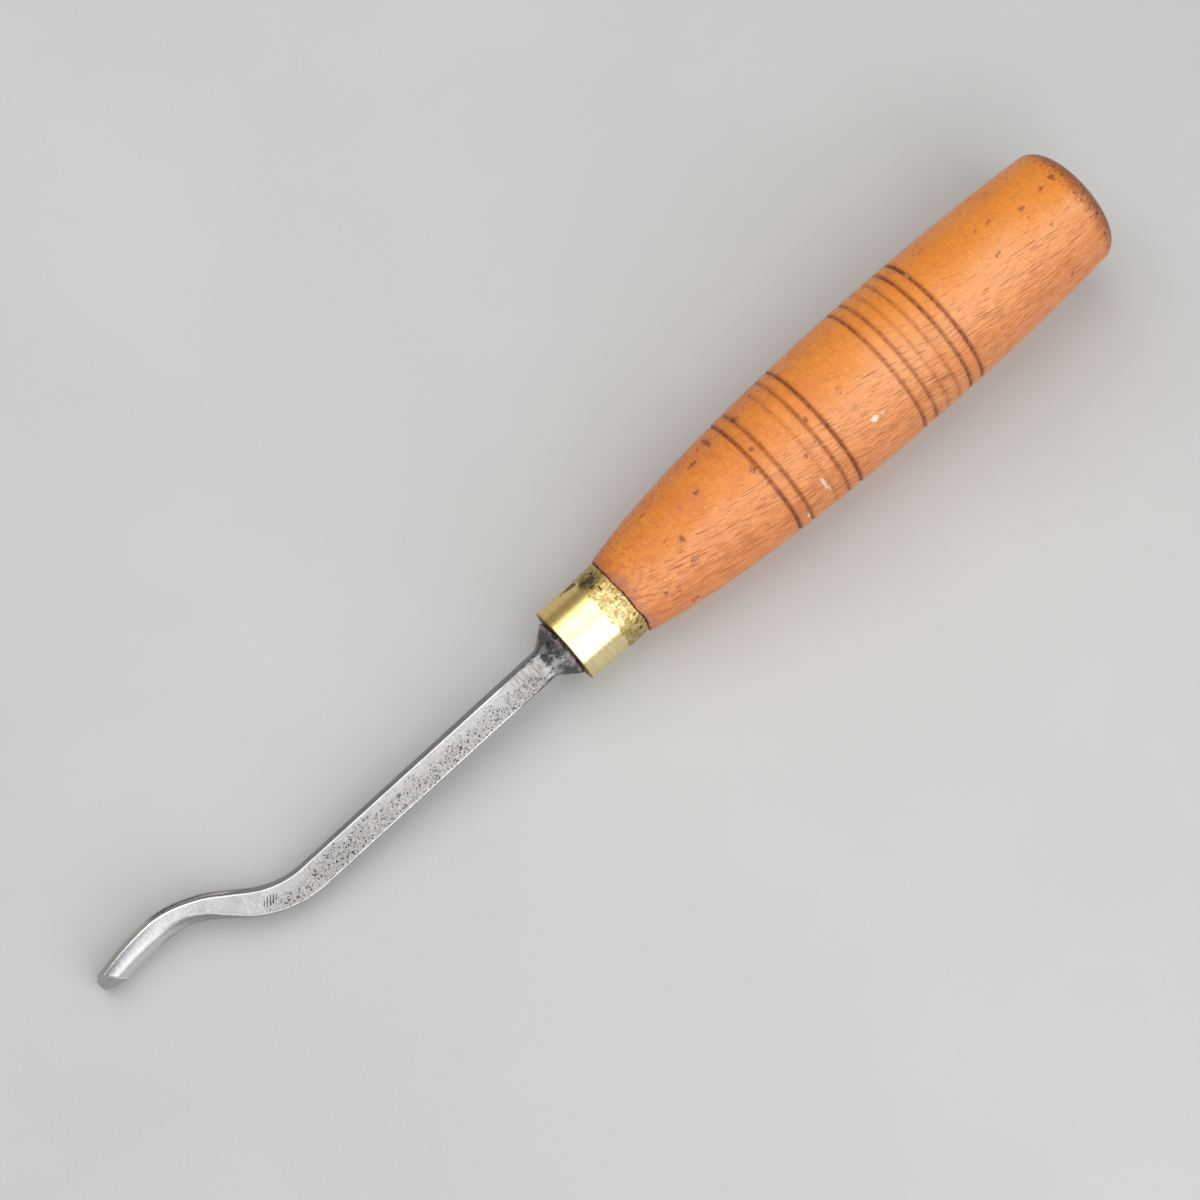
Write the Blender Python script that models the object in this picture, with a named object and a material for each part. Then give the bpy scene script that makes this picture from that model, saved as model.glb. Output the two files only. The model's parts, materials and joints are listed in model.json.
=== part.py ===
"""Back bent carving gouge: a forged steel blade, a brass ferrule and a turned beech handle.

Metres, Z up. The pieces are drawn along the handle's own axis, with the end of the tenon at x = 0, the butt
toward +X and the bend toward +Y. They are then laid down together as the tool comes to rest on a bench.
"""

import math
from collections import namedtuple

import bmesh
import bpy
import numpy as np
from mathutils import Matrix, Vector

MM = 0.001

# Fits between the pieces
FIT_GAP = 0.3 * MM

# Ferrule, a brass tube pressed over the tenon
FERRULE_LENGTH = 14.4 * MM
FERRULE_FRONT_DIAMETER = 16.2 * MM
FERRULE_REAR_DIAMETER = 16.5 * MM
FERRULE_WALL = 1.0 * MM
FERRULE_EDGE = 0.3 * MM

# Handle, turned beech
HANDLE_LENGTH = 131.4 * MM
BELLY_DIAMETER = 28.5 * MM
BELLY_FROM_FRONT = 84.0 * MM
SHOULDER_STEP = 0.35 * MM
SHOULDER_RISE = 0.27
SHOULDER_REACH = 14.0 * MM
BELLY_REACH_FORWARD = 25.0 * MM
BELLY_REACH_BACK = 18.0 * MM
BUTT_DIAMETER = 25.3 * MM
BUTT_FALL = 0.09
BUTT_REACH = 10.0 * MM
BUTT_ROUND_LENGTH = 4.4 * MM
BUTT_FACE_DIAMETER = 12.2 * MM
BUTT_ROUND_STEPS = 6
TENON_EDGE = 0.3 * MM
OUTLINE_PITCH = 6.0 * MM

# Turned grooves, two groups of six; the turner's cut varies in depth from ring to ring
GROOVE_PITCH = 2.94 * MM
GROOVE_WIDTH = 0.8 * MM
GROOVE_DEPTH = 0.34 * MM
FRONT_GROOVES_FROM = 48.3 * MM
REAR_GROOVES_FROM = 79.0 * MM
FRONT_GROOVE_CUTS = (1.0, 0.8, 0.35, 0.45, 0.8, 1.0)
REAR_GROOVE_CUTS = (0.7, 0.8, 0.45, 0.55, 0.9, 1.0)

# Tang, a square spike driven into the handle
TANG_LENGTH = 58.0 * MM
TANG_ROOT_SIDE = 5.6 * MM
TANG_TIP_SIDE = 2.4 * MM
TANG_EDGE_SHARE = 0.12
BORE_TIP_SPACE = 1.5 * MM

# Bolster, the forged flare that stops the tang
BOLSTER_DIAMETER = 12.4 * MM
BOLSTER_LAND = 0.35 * MM
BOLSTER_LAND_STEP = 0.2 * MM
BOLSTER_LENGTH = 4.3 * MM
BOLSTER_ROUNDNESS = 0.97
NECK_HEIGHT = 5.8 * MM
NECK_DEPTH = 5.9 * MM
NECK_EDGE = 1.45 * MM

# Shank: height lies in the plane of the bend, depth lies across it
SHANK_LENGTH = 63.0 * MM
SHANK_SET = math.radians(1.0)
FLATS_FROM_SEAT = 10.5 * MM
SHANK_FRONT_HEIGHT = 5.5 * MM
SHANK_FRONT_DEPTH = 6.2 * MM
SHANK_BEND_HEIGHT = 5.66 * MM
SHANK_BEND_DEPTH = 4.7 * MM
SHANK_EDGE = 0.3 * MM

# Bends: up the ramp, over the crest, and down along the fluted end
RAMP_ANGLE = math.radians(37.0)
FIRST_BEND_RADIUS = 20.0 * MM
RAMP_LENGTH = 5.8 * MM
CREST_RADIUS = 19.3 * MM
END_RADIUS = 62.0 * MM
END_LENGTH = 13.5 * MM
RAMP_FOOT_HEIGHT = 4.7 * MM
RAMP_FOOT_DEPTH = 5.2 * MM
RAMP_HEAD_HEIGHT = 4.5 * MM
RAMP_HEAD_DEPTH = 5.5 * MM
THROAT_HEIGHT = 4.4 * MM
THROAT_DEPTH = 5.7 * MM
CREST_HEIGHT = 5.2 * MM
CREST_DEPTH = 6.0 * MM
TIP_HEIGHT = 4.6 * MM
EDGE_WIDTH = 6.35 * MM

# Flute, rounded back and bevel
FLUTE_DEPTH = 2.6 * MM
FLUTE_RIM = 0.75 * MM
FLUTE_NARROWING = 0.35
FLUTE_LEAST_SHARE = 0.3
FLUTE_AT_RAMP_HEAD = 0.3
FLUTE_AT_THROAT = 0.68
THROAT_PLACE = 0.42
RIM_EDGE = 0.2 * MM
RIM_LEAN = 0.15 * MM
BACK_HEIGHT = 3.05 * MM
BACK_FULLNESS = 0.95
BEVEL_AT_RIM = 1.3 * MM
BEVEL_AT_BACK = 4.1 * MM
CUTTING_LAND = 0.1 * MM

# Fineness of the meshes
ROUND_SEGMENTS = 40
CORNER_STEPS = 4
FLUTE_STEPS = 8
NECK_STEPS = 3
BEND_STEPS = 8
RAMP_STEPS = 2
END_STEPS = 4
BEVEL_MARGIN = 1.15

Station = namedtuple("Station", "along height depth edge back_side back_height flute lean")


def mix(low, high, share):
    return low + (high - low) * share


def clear_scene():
    for item in list(bpy.data.objects):
        bpy.data.objects.remove(item, do_unlink=True)


def principled(name, colour, metallic, roughness):
    material = bpy.data.materials.new(name)
    material.use_nodes = True
    shader = material.node_tree.nodes["Principled BSDF"]
    shader.inputs["Base Color"].default_value = (*colour, 1.0)
    shader.inputs["Metallic"].default_value = metallic
    shader.inputs["Roughness"].default_value = roughness
    return material


def finished(name, mesh_data, material):
    """A smooth shaded object from a bmesh, with its sharp edges kept."""
    bmesh.ops.recalc_face_normals(mesh_data, faces=mesh_data.faces)
    mesh = bpy.data.meshes.new(name)
    mesh_data.to_mesh(mesh)
    mesh_data.free()
    mesh.shade_smooth()
    mesh.set_sharp_from_angle(angle=math.radians(25))
    piece = bpy.data.objects.new(name, mesh)
    if material:
        mesh.materials.append(material)
    bpy.context.scene.collection.objects.link(piece)
    return piece


def turned(name, outline, closed, material):
    """Spins an outline of (x, radius) points round the handle's axis."""
    mesh_data = bmesh.new()
    corners = [mesh_data.verts.new((x, 0.0, radius)) for x, radius in outline]
    pairs = list(zip(corners, corners[1:]))
    if closed:
        pairs.append((corners[-1], corners[0]))
    for first, second in pairs:
        mesh_data.edges.new((first, second))
    bmesh.ops.spin(
        mesh_data,
        geom=list(mesh_data.verts) + list(mesh_data.edges),
        cent=(0.0, 0.0, 0.0),
        axis=(1.0, 0.0, 0.0),
        angle=2.0 * math.pi,
        steps=ROUND_SEGMENTS,
    )
    bmesh.ops.remove_doubles(mesh_data, verts=mesh_data.verts, dist=0.001 * MM)
    return finished(name, mesh_data, material)


def skinned(name, rings, material):
    """Skins a row of closed rings and fills both ends."""
    mesh_data = bmesh.new()
    loops = [[mesh_data.verts.new(point) for point in ring] for ring in rings]
    for near, far in zip(loops, loops[1:]):
        for i in range(len(near)):
            j = (i + 1) % len(near)
            mesh_data.faces.new((near[i], near[j], far[j], far[i]))
    mesh_data.faces.new(loops[0])
    mesh_data.faces.new(loops[-1])
    return finished(name, mesh_data, material)


def bezier(start, start_arm, end_arm, end, share):
    keep = 1.0 - share
    weights = (keep**3, 3 * keep**2 * share, 3 * keep * share**2, share**3)
    points = (start, start_arm, end_arm, end)
    return tuple(sum(w * p[k] for w, p in zip(weights, points)) for k in range(2))


def body_curve():
    """The handle's swell from its shoulder over the belly to the start of the butt's rounding."""
    shoulder = (FERRULE_LENGTH + FIT_GAP, FERRULE_REAR_DIAMETER / 2 + SHOULDER_STEP)
    belly = (BELLY_FROM_FRONT, BELLY_DIAMETER / 2)
    butt = (HANDLE_LENGTH - BUTT_ROUND_LENGTH, BUTT_DIAMETER / 2)
    shoulder_arm = (shoulder[0] + SHOULDER_REACH, shoulder[1] + SHOULDER_REACH * SHOULDER_RISE)
    front_arm = (belly[0] - BELLY_REACH_FORWARD, belly[1])
    rear_arm = (belly[0] + BELLY_REACH_BACK, belly[1])
    butt_arm = (butt[0] - BUTT_REACH, butt[1] + BUTT_REACH * BUTT_FALL)
    shares = [i / 100 for i in range(101)]
    front = [bezier(shoulder, shoulder_arm, front_arm, belly, share) for share in shares]
    rear = [bezier(belly, rear_arm, butt_arm, butt, share) for share in shares[1:]]
    return front + rear


def grooves():
    """(place, depth) of each turned ring."""
    found = []
    for start, cuts in ((FRONT_GROOVES_FROM, FRONT_GROOVE_CUTS), (REAR_GROOVES_FROM, REAR_GROOVE_CUTS)):
        for i, cut in enumerate(cuts):
            found.append((start + i * GROOVE_PITCH, cut * GROOVE_DEPTH))
    return found


def handle_outline():
    tenon_radius = FERRULE_FRONT_DIAMETER / 2 - FERRULE_WALL - FIT_GAP
    curve = body_curve()
    xs = [point[0] for point in curve]
    radii = [point[1] for point in curve]
    first, last = xs[0], xs[-1]
    swell = []
    for place, depth in grooves():
        for offset, sunk in ((-0.5, 0.0), (0.0, depth), (0.5, 0.0)):
            x = place + offset * GROOVE_WIDTH
            swell.append((x, float(np.interp(x, xs, radii)) - sunk))
    steps = max(4, round((last - first) / OUTLINE_PITCH))
    for i in range(steps + 1):
        x = mix(first, last, i / steps)
        if i in (0, steps) or all(abs(x - place) > GROOVE_WIDTH for place, _ in grooves()):
            swell.append((x, float(np.interp(x, xs, radii))))
    swell.sort()
    round_radius = (BUTT_DIAMETER - BUTT_FACE_DIAMETER) / 2
    butt = []
    for i in range(1, BUTT_ROUND_STEPS + 1):
        turn = 0.5 * math.pi * i / BUTT_ROUND_STEPS
        x = last + BUTT_ROUND_LENGTH * math.sin(turn)
        butt.append((x, BUTT_DIAMETER / 2 - round_radius * (1.0 - math.cos(turn))))
    tenon = [(0.0, 0.0), (0.0, tenon_radius - TENON_EDGE), (TENON_EDGE, tenon_radius), (first, tenon_radius)]
    return tenon + swell + butt + [(HANDLE_LENGTH, 0.0)]


def ferrule_outline():
    bore = FERRULE_FRONT_DIAMETER / 2 - FERRULE_WALL
    front = FERRULE_FRONT_DIAMETER / 2
    rear = FERRULE_REAR_DIAMETER / 2
    return [
        (0.0, bore),
        (0.0, front - FERRULE_EDGE),
        (FERRULE_EDGE, front),
        (FERRULE_LENGTH, rear),
        (FERRULE_LENGTH, bore),
    ]


def spine_segments():
    """(length, turn per length) of each stretch of the spine after the bolster, the last past the edge."""
    first_turn = RAMP_ANGLE + SHANK_SET
    return (
        (SHANK_LENGTH - BOLSTER_LENGTH, 0.0),
        (FIRST_BEND_RADIUS * first_turn, 1.0 / FIRST_BEND_RADIUS),
        (RAMP_LENGTH, 0.0),
        (CREST_RADIUS * RAMP_ANGLE, -1.0 / CREST_RADIUS),
        (END_LENGTH + EDGE_WIDTH, -1.0 / END_RADIUS),
    )


def spine(along):
    """Place and heading of the spine, as (x, y, angle above the handle's axis) toward the tip."""
    if along <= BOLSTER_LENGTH:
        return -FIT_GAP - along, 0.0, 0.0
    x, y, heading = -FIT_GAP - BOLSTER_LENGTH, 0.0, -SHANK_SET
    left = along - BOLSTER_LENGTH
    for length, turn in spine_segments():
        run = min(left, length)
        middle = heading + 0.5 * turn * run
        half = 0.5 * turn * run
        chord = run * (math.sin(half) / half if half else 1.0)
        x -= chord * math.cos(middle)
        y += chord * math.sin(middle)
        heading += turn * run
        left -= run
        if left <= 0.0:
            break
    return x, y, heading


def stations():
    """The blade's section at each place where it changes, from the seat of the bolster to the tip."""
    first_bend, ramp, crest_bend = (segment[0] for segment in spine_segments()[1:4])
    foot = SHANK_LENGTH + first_bend
    head = foot + ramp
    crest = head + crest_bend
    throat = mix(head, crest, THROAT_PLACE)
    tip = crest + END_LENGTH
    base = BOLSTER_DIAMETER - 2 * BOLSTER_LAND_STEP
    full = BOLSTER_ROUNDNESS / 2

    def plain(along, height, depth, edge):
        return Station(along, height, depth, edge, edge, edge, 0.0, 0.0)

    def hollow(along, height, depth, share):
        back_side = mix(SHANK_EDGE, BACK_FULLNESS * depth / 2, share)
        back_height = mix(SHANK_EDGE, BACK_HEIGHT, share)
        flute, lean = FLUTE_DEPTH * share, RIM_LEAN * share
        return Station(along, height, depth, RIM_EDGE, back_side, back_height, flute, lean)

    return (
        plain(0.0, base, base, full * base),
        plain(BOLSTER_LAND, BOLSTER_DIAMETER, BOLSTER_DIAMETER, full * BOLSTER_DIAMETER),
        plain(BOLSTER_LENGTH, NECK_HEIGHT, NECK_DEPTH, NECK_EDGE),
        plain(FLATS_FROM_SEAT, SHANK_FRONT_HEIGHT, SHANK_FRONT_DEPTH, SHANK_EDGE),
        plain(SHANK_LENGTH, SHANK_BEND_HEIGHT, SHANK_BEND_DEPTH, SHANK_EDGE),
        plain(foot, RAMP_FOOT_HEIGHT, RAMP_FOOT_DEPTH, SHANK_EDGE),
        hollow(head, RAMP_HEAD_HEIGHT, RAMP_HEAD_DEPTH, FLUTE_AT_RAMP_HEAD),
        hollow(throat, THROAT_HEIGHT, THROAT_DEPTH, FLUTE_AT_THROAT),
        hollow(crest, CREST_HEIGHT, CREST_DEPTH, 1.0),
        hollow(tip, TIP_HEIGHT, EDGE_WIDTH, 1.0),
    )


def section_at(along, row):
    """The section between two stations of the row."""
    for near, far in zip(row, row[1:]):
        if along <= far.along:
            share = (along - near.along) / (far.along - near.along)
            return Station(*(mix(a, b, share) for a, b in zip(near, far)))
    return row[-1]


def flute_half_width(section):
    """Half the flute's width, which stays within the flat between the section's two upper edges."""
    side = section.depth / 2
    flat = side - section.lean - section.edge
    widest = min(flat, max(side - FLUTE_RIM, FLUTE_LEAST_SHARE * side))
    return widest * mix(FLUTE_NARROWING, 1.0, section.flute / FLUTE_DEPTH)


def flute_point(section, turn):
    """A point of the flute, turned from its bottom toward a rim: (height above the spine, side)."""
    top = section.height / 2
    return top - section.flute * math.cos(turn), flute_half_width(section) * math.sin(turn)


def outer_points(section):
    """The outside of a section from the rim at +Z round the back to the rim at -Z."""
    top, side = section.height / 2, section.depth / 2
    rim_side = side - section.lean
    quarter = [0.5 * math.pi * i / CORNER_STEPS for i in range(CORNER_STEPS + 1)]
    half = []
    for turn in quarter:
        half.append((
            top - section.edge * (1.0 - math.cos(turn)),
            rim_side - section.edge * (1.0 - math.sin(turn)),
        ))
    for turn in quarter:
        half.append((
            -top + section.back_height * (1.0 - math.sin(turn)),
            side - section.back_side * (1.0 - math.cos(turn)),
        ))
    return half + [(height, -z) for height, z in reversed(half)]


def flute_points(section):
    turns = [math.pi * (i / FLUTE_STEPS - 0.5) for i in range(FLUTE_STEPS + 1)]
    return [flute_point(section, turn) for turn in turns]


def placed(along, point):
    """A section's point in the tool's own frame."""
    x, y, heading = spine(along)
    height, z = point
    return Vector((x + height * math.sin(heading), y + height * math.cos(heading), z))


def blade_ring(along, row):
    section = section_at(along, row)
    return [placed(along, point) for point in outer_points(section) + flute_points(section)]


def bevel_rings(row):
    """The heel of the bevel and the cutting edge, where the outside has run in to meet the flute."""
    tip = row[-1]
    heel, edge = [], []
    for height, z in outer_points(tip):
        below_rim = tip.height / 2 - height
        inner = Vector(flute_point(tip, math.atan2(z, below_rim)))
        across = Vector((height, z)) - inner
        heel_along = tip.along - mix(BEVEL_AT_RIM, BEVEL_AT_BACK, below_rim / tip.height)
        place = outer_points(section_at(heel_along, row))[len(heel)]
        heel.append(placed(heel_along, place))
        edge.append(placed(tip.along, inner + across * (CUTTING_LAND / across.length)))
    middle = tip.along - 0.5 * BEVEL_AT_BACK
    heel += [placed(middle, point) for point in flute_points(section_at(middle, row))]
    edge += [placed(tip.along, point) for point in flute_points(tip)]
    return [heel, edge]


def tang_ring(x, side):
    edge = TANG_EDGE_SHARE * side
    section = Station(0.0, side, side, edge, edge, edge, 0.0, 0.0)
    return [Vector((x, height, z)) for height, z in outer_points(section) + flute_points(section)]


def blade_rings():
    row = stations()
    seat, land, neck, flats, bend, foot, head, _, crest, tip = (station.along for station in row)
    before_bevel = tip - BEVEL_MARGIN * BEVEL_AT_BACK
    places = [seat, land, neck]
    for near, far, steps in (
        (neck, flats, NECK_STEPS),
        (flats, bend, 1),
        (bend, foot, BEND_STEPS),
        (foot, head, RAMP_STEPS),
        (head, crest, BEND_STEPS),
        (crest, before_bevel, END_STEPS),
    ):
        places += [mix(near, far, (i + 1) / steps) for i in range(steps)]
    tang = [tang_ring(TANG_LENGTH, TANG_TIP_SIDE), tang_ring(-FIT_GAP, TANG_ROOT_SIDE)]
    return tang + [blade_ring(along, row) for along in places] + bevel_rings(row)


def tang_bore():
    """Cutter for the socket in the handle: the tang's taper carried past both ends, with a gap all round."""
    reach = TANG_LENGTH + BORE_TIP_SPACE
    slope = (TANG_ROOT_SIDE - TANG_TIP_SIDE) / (TANG_LENGTH + FIT_GAP)

    def ring(x):
        half = 0.5 * (TANG_ROOT_SIDE - slope * (x + FIT_GAP)) + FIT_GAP
        return [Vector((x, a * half, b * half)) for a, b in ((-1, -1), (1, -1), (1, 1), (-1, 1))]

    cutter = skinned("tang_bore_cutter", [ring(-TANG_ROOT_SIDE), ring(reach)], None)
    cutter.hide_render = True
    cutter.display_type = "WIRE"
    return cutter


def cut(piece, cutter):
    modifier = piece.modifiers.new("tang bore", "BOOLEAN")
    modifier.operation = "DIFFERENCE"
    modifier.solver = "EXACT"
    modifier.object = cutter


def points_of(piece):
    return np.array([vertex.co for vertex in piece.data.vertices])


def heights(points, roll, pitch):
    """Height of each point with the bend rolled up and the butt raised by these angles."""
    lifted = points[:, 1] * math.sin(roll) + points[:, 2] * math.cos(roll)
    return lifted * math.cos(pitch) + points[:, 0] * math.sin(pitch)


def solved(gap, low, high):
    """The angle between low and high where gap(angle) rises through zero."""
    for _ in range(50):
        middle = 0.5 * (low + high)
        if gap(middle) < 0.0:
            low = middle
        else:
            high = middle
    return 0.5 * (low + high)


def resting_angles(handle_points, blade_points):
    """Roll and pitch at which the belly, the heel of the first bend and the tip all touch one plane."""
    split = spine(stations()[6].along)[0]
    tip_points = blade_points[blade_points[:, 0] < split]
    heel_points = blade_points[(blade_points[:, 0] >= split) & (blade_points[:, 0] < 0.0)]

    def pitch_for(roll):
        def gap(pitch):
            return heights(handle_points, roll, pitch).min() - heights(heel_points, roll, pitch).min()

        return solved(gap, 0.0, math.radians(20))

    def tip_gap(roll):
        pitch = pitch_for(roll)
        return heights(tip_points, roll, pitch).min() - heights(heel_points, roll, pitch).min()

    roll = solved(tip_gap, 0.0, math.radians(60))
    return roll, pitch_for(roll)


def lay_down(pieces, handle, blade):
    """Rests the tool on the plane z = 0, centred over the origin."""
    roll, pitch = resting_angles(points_of(handle), points_of(blade))
    turn = Matrix.Rotation(-pitch, 4, "Y") @ Matrix.Rotation(roll, 4, "X")
    laid = [turn @ vertex.co for piece in pieces for vertex in piece.data.vertices]
    low = Vector(min(point[k] for point in laid) for k in range(3))
    high = Vector(max(point[k] for point in laid) for k in range(3))
    shift = Matrix.Translation((-(low.x + high.x) / 2, -(low.y + high.y) / 2, -low.z))
    bench = bpy.data.objects.new("tool_axis", None)
    bench.matrix_world = shift @ turn
    bpy.context.scene.collection.objects.link(bench)
    return bench


def main():
    clear_scene()
    handle = turned("handle", handle_outline(), False, principled("beech", (0.5, 0.2, 0.07), 0.0, 0.45))
    ferrule = turned("ferrule", ferrule_outline(), True, principled("brass", (0.75, 0.6, 0.28), 1.0, 0.35))
    blade = skinned("blade", blade_rings(), principled("steel", (0.55, 0.55, 0.55), 1.0, 0.38))
    bore = tang_bore()
    cut(handle, bore)
    bench = lay_down((handle, ferrule, blade), handle, blade)
    for piece in (handle, ferrule, blade, bore):
        piece.parent = bench


main()
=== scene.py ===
# %% [markdown]
# A back bent carving gouge lies on a pale bench: a forged steel blade, a brass ferrule and a turned beech
# handle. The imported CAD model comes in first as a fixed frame. It has the right sizes but few facets and
# plain finishes, so each of its three pieces is made again here with finer shapes, wear and a worked
# finish.

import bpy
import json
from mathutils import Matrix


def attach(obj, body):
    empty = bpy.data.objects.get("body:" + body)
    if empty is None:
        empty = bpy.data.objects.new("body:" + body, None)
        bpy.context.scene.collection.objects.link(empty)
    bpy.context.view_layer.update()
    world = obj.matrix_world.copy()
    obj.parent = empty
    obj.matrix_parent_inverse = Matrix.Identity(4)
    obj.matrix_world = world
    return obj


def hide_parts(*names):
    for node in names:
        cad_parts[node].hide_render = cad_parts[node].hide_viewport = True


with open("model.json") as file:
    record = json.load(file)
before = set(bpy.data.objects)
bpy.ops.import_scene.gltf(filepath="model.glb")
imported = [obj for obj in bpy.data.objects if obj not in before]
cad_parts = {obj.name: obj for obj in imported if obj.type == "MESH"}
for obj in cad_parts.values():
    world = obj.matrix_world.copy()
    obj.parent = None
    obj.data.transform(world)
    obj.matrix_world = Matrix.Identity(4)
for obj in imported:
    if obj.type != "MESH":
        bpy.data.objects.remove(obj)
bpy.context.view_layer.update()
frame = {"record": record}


def rounded(numbers, digits):
    return [round(float(number), digits) for number in numbers]


# %% [markdown]
# The tool rests tilted on its belly, its heel and its tip, but a turner thinks along the handle's own
# axis. The two mounts in the record give that axis back: the butt face looks along it, and the flat of
# the shank looks across it. Every shape below is drawn in millimetres along that axis and then laid down
# with one matrix.

# %% The tool's own axes
import json
import math

import bmesh
import bpy
import numpy as np
from mathutils import Matrix, Vector, noise

MM = 0.001
HANDLE_LENGTH = 131.4

mounts = {mount["name"]: mount for mount in frame["record"]["mounts"]}
along_axis = Vector(mounts["butt_face"]["axis"]).normalized()
flat_axis = Vector(mounts["shank_side"]["axis"])
up_axis = (flat_axis - flat_axis.dot(along_axis) * along_axis).normalized()
tool = Matrix((along_axis, up_axis.cross(along_axis), up_axis)).transposed().to_4x4()
tool.translation = Vector(mounts["butt_face"]["pos_m"]) - HANDLE_LENGTH * MM * along_axis
print("the tenon ends at", rounded(tool.translation, 5))

# %% [markdown]
# The photograph looks almost straight down from about half a metre. Its tilt and distance show in how the
# rings of the handle open up and how the far end shrinks. The camera is placed from those few angles, in
# the tool's own axes, with a plain lens and no shift.

# %% The camera
PHOTO_SIZE = 1200
FOCAL_PIXELS = 2900
SENSOR_WIDTH = 36.0
TIP_LEAN = math.radians(4.29)
BEND_LEAN = math.radians(8.0)
PICTURE_SLANT = math.atan2(0.661064, 0.75033)
AIM_ALONG = 10.903
AIM_ACROSS = 2.096
CAMERA_DISTANCE = 547.655


def in_scene(name, data):
    """Makes an object of the data and puts it in the scene."""
    made = bpy.data.objects.new(name, data)
    bpy.context.scene.collection.objects.link(made)
    return made


toward_camera = Vector((
    -math.sin(TIP_LEAN),
    math.sin(BEND_LEAN) * math.cos(TIP_LEAN),
    math.cos(BEND_LEAN) * math.cos(TIP_LEAN),
))
across_handle = Vector((0.0, math.cos(BEND_LEAN), -math.sin(BEND_LEAN)))
down_handle = across_handle.cross(toward_camera)
picture_right = math.cos(PICTURE_SLANT) * down_handle - math.sin(PICTURE_SLANT) * across_handle
picture_up = math.sin(PICTURE_SLANT) * down_handle + math.cos(PICTURE_SLANT) * across_handle

camera_data = bpy.data.cameras.new("photo_camera")
camera_data.sensor_width = SENSOR_WIDTH
camera_data.lens = SENSOR_WIDTH * FOCAL_PIXELS / PHOTO_SIZE
stand = Matrix((picture_right, picture_up, toward_camera)).transposed().to_4x4()
stand.translation = MM * (
    Vector((AIM_ALONG, 0.0, 0.0)) + AIM_ACROSS * across_handle + CAMERA_DISTANCE * toward_camera
)
camera = in_scene("photo_camera", camera_data)
camera.matrix_world = tool @ stand
bpy.context.scene.camera = camera
print("camera at", rounded(camera.location, 4), "lens", round(camera_data.lens, 1))

# %% [markdown]
# The light is two soft panels over the bench, one to each side of the camera. The ferrule is a round
# mirror, so the white band on it shows how far the panels reach, and a thin grey line in that band is the
# gap that the camera looks through. The rest of the room is an even, dim grey, which gives the darker
# flanks of the metal. Together they light the bench at a plain level, so colours render as written.

# %% The panels and the room
# Each row: where a panel starts and ends, in degrees from straight up.
PANEL_SPANS = ((-79.0, -5.5), (-0.5, 52.0))
PANEL_DISTANCE = 0.6
PANEL_WIDTH = 0.5
PANEL_GLOW = 2.05
ROOM_GREY = 0.29

for lowest, highest in PANEL_SPANS:
    lean = math.radians(0.5 * (lowest + highest))
    half_angle = math.radians(0.5 * (highest - lowest))
    panel_data = bpy.data.lights.new("soft_panel", "AREA")
    panel_data.shape = "RECTANGLE"
    panel_data.size = PANEL_WIDTH
    panel_data.size_y = 2 * PANEL_DISTANCE * math.tan(half_angle)
    panel_data.energy = PANEL_GLOW * math.pi * panel_data.size * panel_data.size_y
    panel = in_scene("soft_panel", panel_data)
    panel.matrix_world = Matrix.Rotation(-lean, 4, "X") @ Matrix.Translation((0.0, 0.0, PANEL_DISTANCE))
    print("a panel of", round(panel_data.size_y, 2), "m with", round(panel_data.energy, 2), "W")

world = bpy.data.worlds.new("room")
world.use_nodes = True
world.node_tree.nodes["Background"].inputs["Color"].default_value = (ROOM_GREY, ROOM_GREY, ROOM_GREY, 1.0)
bpy.context.scene.world = world
bpy.context.scene.view_settings.view_transform = "Standard"

# %% [markdown]
# Nodes are easier to read as short lines of code. This helper places a node, sets it up, and feeds each
# input with a number, a colour or another node's output. Every effect and material below is written with
# it.

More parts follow.
